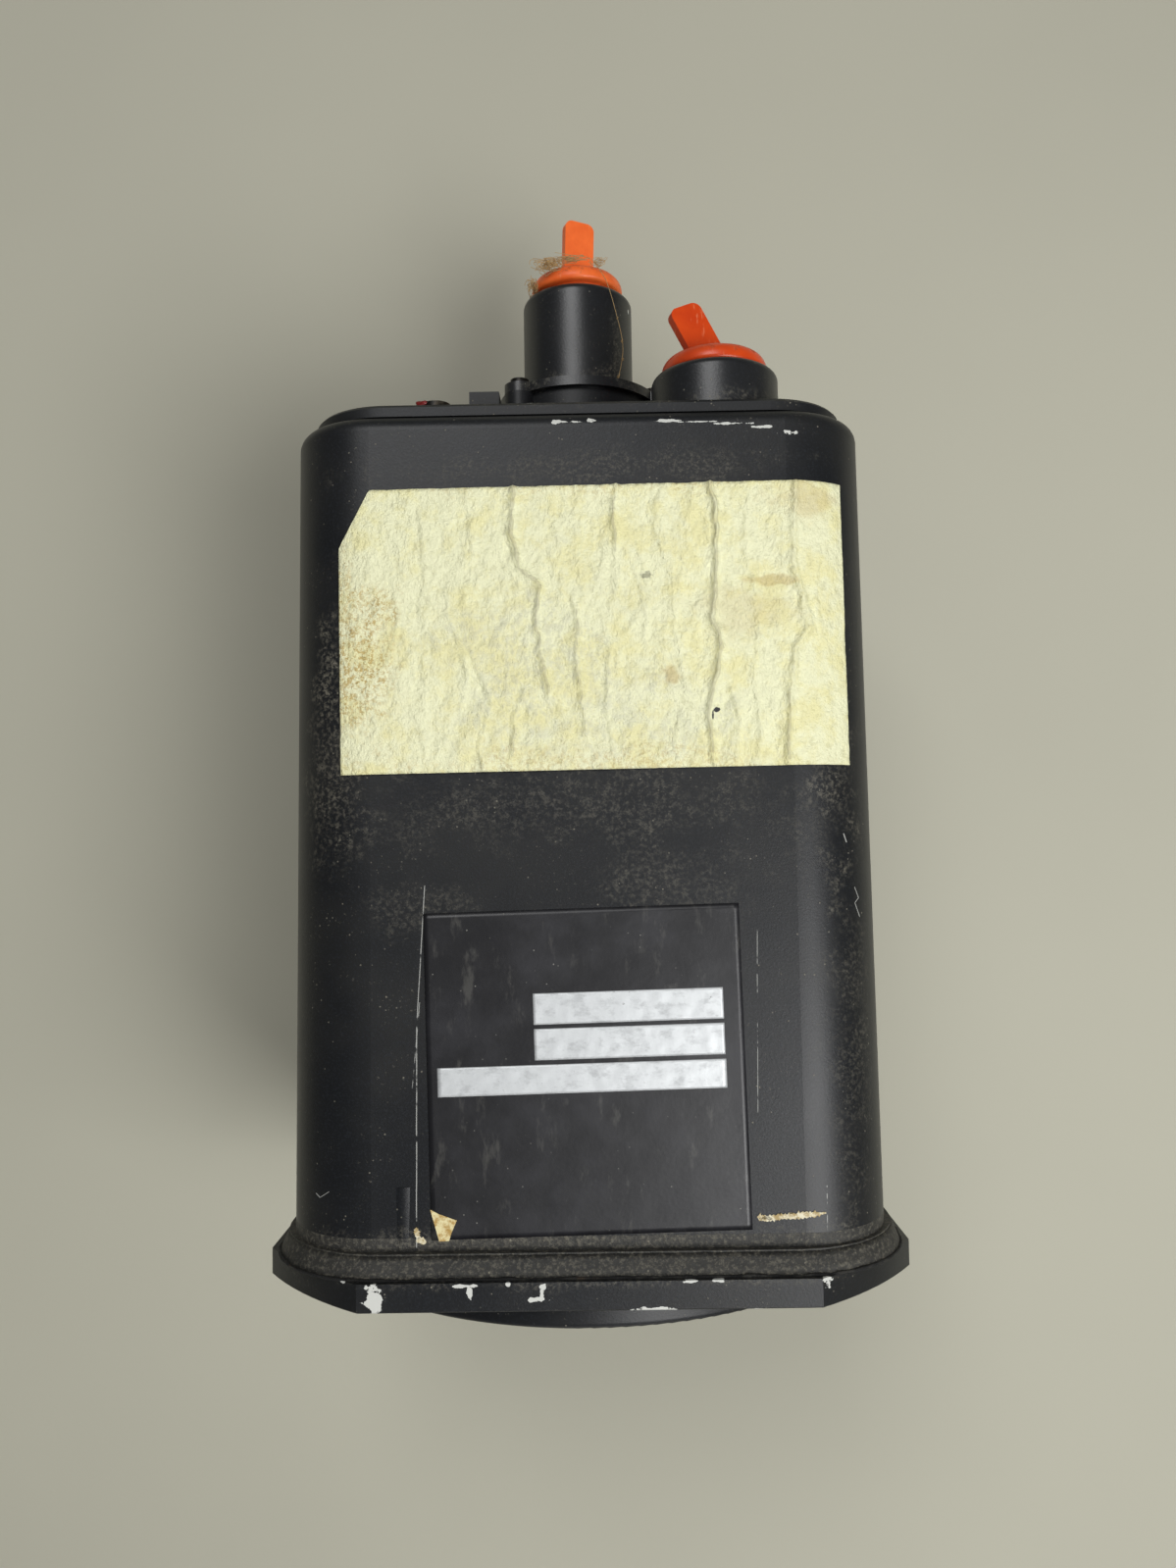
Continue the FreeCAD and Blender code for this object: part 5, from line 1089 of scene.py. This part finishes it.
class INDICATOR_OT_plugs(Operator):
    """Colours the two orange plugs and hangs fluff on the inlet plug"""

    bl_idname = "indicator.plugs"
    bl_label = "Plugs"

    def execute(self, context):
        sizes = context.scene.indicator_plastic
        inlet = self.plastic("inlet_plug_plastic", sizes.inlet_tint, 0.42, (0, 144.6, 6.5))
        vacuum = self.plastic("vacuum_plug_plastic", sizes.vacuum_tint, 0.34, (18, 120.6, 32.0))
        dress(inlet, "inlet_plug")
        dress(vacuum, "vacuum_plug")
        self.fluff()
        return {"FINISHED"}

    def plastic(self, name, base, roughness, dirty_at):
        finish = Finish(name, roughness=roughness)
        finish.shader.inputs["Subsurface Weight"].default_value = 0.05
        finish.shader.inputs["Subsurface Radius"].default_value = (0.9, 0.35, 0.15)
        finish.shader.inputs["Subsurface Scale"].default_value = 0.0016
        cloud = finish.noise(4.0, 3.0, 0.6)
        deeper = [base[0] * 0.88, base[1] * 0.72, base[2] * 0.6, 1.0]
        colour = finish.mix(cloud.fade(0.35, 0.75), base, deeper)
        scuff = finish.noise(1.2, 4.0, 0.7, (0.4, 3.0, 1.0)).fade(0.62, 0.74) * 0.35
        dirt = finish.spot(dirty_at, (8.0, 1.6, 4.0), 0.6, 2.0)
        dirt = dirt * finish.noise(0.9, 4.0, 0.7).fade(0.5, 0.7)
        colour = finish.mix(scuff, colour, linear(255, 176, 128))
        finish.colour(finish.mix(dirt * 0.45, colour, linear(120, 70, 40)))
        finish.gloss((roughness + scuff * 0.4 + dirt * 0.3).clamp())
        finish.relief(finish.noise(0.9, 2.0), 0.03, 0.5)
        return finish

    def fluff(self):
        """Tangled threads on the inlet plug, and one hanging thread with knots down the port."""
        noise.seed_set(7)  # noise_vector follows this seed, and differs from run to run without it
        finish = Finish("fluff", roughness=0.9)
        finish.shader.inputs["Subsurface Weight"].default_value = 0.2
        finish.colour(finish.mix(finish.noise(1.2, 2.0), linear(214, 176, 112), linear(142, 112, 74)))
        for name, middle, reach, count, radius in CLUMPS:
            starts = [Vector((number * 3.7, middle[0], 0.5)) for number in range(count)]
            lines = [[self.wander(middle, reach, seed, step) for step in range(7)] for seed in starts]
            self.threads(name, lines, radius, finish, "inlet_cap")
        lines = [STRAND]
        for index, size in KNOTS:
            reach = (size, size * 1.6, size)
            for turn in range(3):
                seed = Vector((turn * 2.9, index * 5.1, 2.0))
                lines.append([self.wander(STRAND[index], reach, seed, step) for step in range(5)])
        self.threads("port_thread", lines, 0.05, finish, "case")

    def wander(self, middle, reach, seed, step):
        """A point of a thread that strays about the middle of its clump, in millimetres."""
        stray = noise.noise_vector(seed + Vector((step * 0.45, 0, 0)))
        return Vector(m + 1.7 * r * s for m, r, s in zip(middle, reach, stray))

    def threads(self, name, lines, radius, finish, body):
        """Round threads through lines of points in millimetres."""
        curve = bpy.data.curves.new(name, "CURVE")
        curve.dimensions = "3D"
        curve.bevel_depth = radius * MM
        curve.bevel_resolution = 1
        for points in lines:
            spline = curve.splines.new("NURBS")
            spline.points.add(len(points) - 1)
            for point, place in zip(spline.points, points):
                point.co = (*(Vector(place) * MM), 1.0)
            spline.order_u = 3
            spline.use_endpoint_u = True
        curve.materials.append(finish.material)
        piece = bpy.data.objects.new(name, curve)
        bpy.context.scene.collection.objects.link(piece)
        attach(piece, body)


# ---------------------------------------------------------------- dial end

PITCH_MARKS = ((5, 4.0), (10, 8.5), (15, 4.0), (20, 8.5))  # degrees, and half the mark's length
BANK_MARKS = (10, 20, 30, 60, 90)  # degrees to each side of the top
LONG_FROM = 30  # the bank marks from here on are the long ones
LONG_HALF, SHORT_HALF = 0.55 * MM, 0.35 * MM  # half the width of a bank mark
TOP_MARK = (1.9 * MM, 3.6 * MM)  # half the width and the height of the pointed mark at the top
MARK_THICKNESS = 0.06 * MM
TO_PILOT = Vector((0, -1, 0))


class INDICATOR_OT_dial(Operator):
    """Paints the drum and its pitch marks, the mask and its bank scale, and the airplane symbol"""

    bl_idname = "indicator.dial"
    bl_label = "Dial"

    def execute(self, context):
        sizes = context.scene.indicator_dial
        dress(self.drum(sizes), "horizon_drum", "drum_end_discs")
        dress(self.flat_paint("mask_paint", sizes.mask_tint, 0.75), "dial_mask")
        dress(self.flat_paint("symbol_enamel", sizes.symbol_tint, 0.4), "airplane_symbol")
        marks = self.flat_paint("scale_paint", sizes.mark_tint, 0.5)
        add_piece("bank_scale", self.bank_scale(sizes), marks, "case", smooth=False)
        return {"FINISHED"}

    def flat_paint(self, name, base, roughness):
        finish = Finish(name, roughness=roughness)
        cloud = finish.noise(3.0, 3.0, 0.6)
        finish.colour(finish.mix(cloud.fade(0.35, 0.75), base, scaled(base, 0.82)))
        finish.gloss((roughness + (cloud - 0.5) * 0.15).clamp())
        finish.relief(finish.noise(0.35, 2.0), 0.02, 0.5)
        return finish

    def drum(self, sizes):
        finish = Finish("drum_paint", roughness=0.6)
        low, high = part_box("drum_end_discs")
        forward = (low.y + high.y) / 2 / MM - finish.y
        turn = finish.node("ShaderNodeMath", {"operation": "ARCTAN2"}, {0: finish.z, 1: forward})
        degrees = turn * math.degrees(1.0)
        cloud = finish.noise(5.0, 3.0, 0.6).fade(0.35, 0.75) * 0.25
        colour = finish.mix(degrees.fade(-0.15, 0.15), sizes.ground_tint, sizes.sky_tint)
        colour = finish.mix(cloud, colour, linear(60, 60, 62))
        side = abs(finish.x)
        marks = abs(degrees) < 0.55
        for step, half in PITCH_MARKS:
            near = abs(abs(degrees) - float(step)) < 0.34
            marks = marks.most(near * (side < half))
        finish.colour(finish.mix(marks, colour, sizes.mark_tint))
        finish.gloss((0.55 + cloud * 0.3).clamp())
        finish.relief(finish.noise(0.5, 2.0), 0.02, 0.4)
        return finish

    def bank_scale(self, sizes):
        """The thin marks of the bank scale and the pointed one at its top."""
        front = Vector((0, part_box("dial_mask")[0].y, 0))
        shape = bmesh.new()
        for degrees in BANK_MARKS:
            long = degrees >= LONG_FROM
            end = sizes.tick_start + (sizes.tick_long if long else sizes.tick_short)
            half = LONG_HALF if long else SHORT_HALF
            for hand in (-1, 1):
                turn = math.radians(90 - hand * degrees)
                out = Vector((math.cos(turn), 0, math.sin(turn)))
                side = Vector((-out.z, 0, out.x)) * half
                runs = ((sizes.tick_start, -side), (end, -side), (end, side), (sizes.tick_start, side))
                points = [out * reach + aside + front for reach, aside in runs]
                flat_outline(shape, points, MARK_THICKNESS, TO_PILOT)
        top = front + UP * sizes.tick_start
        half, height = TOP_MARK
        wedge = [top, top + Vector((half, 0, height)), top + Vector((-half, 0, height))]
        flat_outline(shape, wedge, MARK_THICKNESS, TO_PILOT)
        bmesh.ops.recalc_face_normals(shape, faces=shape.faces)
        return shape


class INDICATOR_OT_glass(Operator):
    """Makes the cover glass clear, with faint smears, and lets light fall through it on the dial"""

    bl_idname = "indicator.glass"
    bl_label = "Cover glass"

    def execute(self, context):
        finish = Finish("clear_glass", roughness=0.03, **{"IOR": 1.5, "Transmission Weight": 1.0})
        smear = finish.noise(14.0, 4.0, 0.6, (1.0, 1.0, 2.0))
        finish.gloss(smear.fade(0.45, 0.8, 0.01, 0.05))
        finish.colour(finish.mix(smear, (0.97, 0.985, 0.98, 1), (0.94, 0.96, 0.955, 1)))
        clear = finish.node("ShaderNodeBsdfTransparent", inputs={"Color": (0.93, 0.95, 0.94, 1)})
        shadow = finish.node("ShaderNodeLightPath", output="Is Shadow Ray")
        glass = Shade(finish, finish.shader.outputs[0])
        both = finish.node("ShaderNodeMixShader", inputs={0: shadow, 1: glass, 2: clear})
        finish.tree.links.new(both.socket, finish.output.inputs["Surface"])
        dress(finish, "glass")
        return {"FINISHED"}


# ---------------------------------------------------------------- metal, rubber and plastic parts

# For each material slot: name, bright and dull colour, roughness and the stretch of its grain.
METALS = {
    "steel": ("bright_steel", (196, 196, 194), (120, 114, 104), 0.28, (1.0, 4.0, 1.0)),
    "black_steel": ("blackened_steel", (44, 43, 42), (92, 84, 72), 0.42, (1.0, 1.0, 1.0)),
    "aluminium": ("turned_aluminium", (206, 208, 210), (160, 160, 158), 0.36, (1.0, 5.0, 1.0)),
    "brass": ("brass", (214, 178, 104), (150, 112, 54), 0.32, (4.0, 1.0, 1.0)),
    "sintered_bronze": ("sintered_bronze", (168, 120, 72), (104, 72, 44), 0.6, (1.0, 1.0, 1.0)),
}


class INDICATOR_OT_metalwork(Operator):
    """Gives the screws, bearings, gimbals and rotor their metals, and the seals their rubber"""

    bl_idname = "indicator.metalwork"
    bl_label = "Metal and rubber parts"

    def execute(self, context):
        finishes = {slot: self.metal(*look) for slot, look in METALS.items()}
        finishes["seal_rubber"] = self.rubber()
        finishes["knob_plastic"] = self.knob(context.scene.indicator_plastic)
        for name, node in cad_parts.items():
            slot = node.data.materials[0].name.split(".")[0] if node.data.materials else ""
            if slot in finishes:
                dress(finishes[slot], name)
        return {"FINISHED"}

    def metal(self, name, bright, dull, roughness, stretch):
        finish = Finish(name, roughness=roughness, metallic=1.0)
        cloud = finish.noise(2.2, 4.0, 0.65)
        grain = finish.noise(0.25, 3.0, 0.6, stretch)
        colour = finish.mix(cloud.fade(0.42, 0.78), linear(*bright), linear(*dull))
        finish.colour(finish.mix(grain.fade(0.6, 0.8) * 0.35, colour, linear(*dull)))
        finish.gloss((roughness + (grain - 0.5) * 0.2 + cloud.fade(0.5, 0.8) * 0.2).clamp())
        finish.relief(grain, 0.015, 0.5)
        return finish

    def rubber(self):
        finish = Finish("seal_rubber_black", roughness=0.8)
        grain = finish.noise(0.6, 3.0, 0.6)
        finish.colour(finish.mix(grain, linear(26, 26, 27), linear(44, 43, 41)))
        finish.gloss((0.7 + grain * 0.2).clamp())
        finish.relief(grain, 0.05, 0.6)
        return finish

    def knob(self, sizes):
        finish = Finish("moulded_knob", roughness=0.4)
        grain = finish.noise(0.5, 3.0, 0.6)
        worn = finish.noise(2.0, 4.0, 0.7).fade(0.55, 0.75) * 0.3
        finish.colour(finish.mix(worn, sizes.knob_tint, linear(70, 68, 64)))
        finish.gloss((0.34 + grain * 0.16 + worn * 0.3).clamp())
        finish.relief(grain, 0.03, 0.5)
        return finish


# ---------------------------------------------------------------- panel and running

OPERATORS = (
    INDICATOR_OT_metalwork,
    INDICATOR_OT_case_paint,
    INDICATOR_OT_paper_label,
    INDICATOR_OT_data_plate,
    INDICATOR_OT_residue,
    INDICATOR_OT_sealant,
    INDICATOR_OT_marks,
    INDICATOR_OT_plugs,
    INDICATOR_OT_dial,
    INDICATOR_OT_glass,
    INDICATOR_OT_stage,
)


class INDICATOR_PT_sidebar(Panel):
    bl_idname = "INDICATOR_PT_sidebar"
    bl_label = "Attitude indicator"
    bl_space_type = "VIEW_3D"
    bl_region_type = "UI"
    bl_category = "Indicator"

    def draw(self, context):
        column = self.layout.column(align=True)
        for operator in OPERATORS:
            column.operator(operator.bl_idname)
        for name in GROUPS:
            box = self.layout.box()
            settings = getattr(context.scene, name)
            for prop in settings.bl_rna.properties:
                if prop.identifier not in ("rna_type", "name"):
                    box.prop(settings, prop.identifier)


CLASSES = (*GROUPS.values(), *OPERATORS, INDICATOR_PT_sidebar)


def register():
    for made in CLASSES:
        bpy.utils.register_class(made)
    for name, group in GROUPS.items():
        setattr(bpy.types.Scene, name, PointerProperty(type=group))


def unregister():
    for name in GROUPS:
        delattr(bpy.types.Scene, name)
    for made in reversed(CLASSES):
        bpy.utils.unregister_class(made)


def main():
    register()
    for operator in OPERATORS:
        group, name = operator.bl_idname.split(".")
        getattr(getattr(bpy.ops, group), name)()
    bpy.context.view_layer.update()


if __name__ == "__main__":
    main()
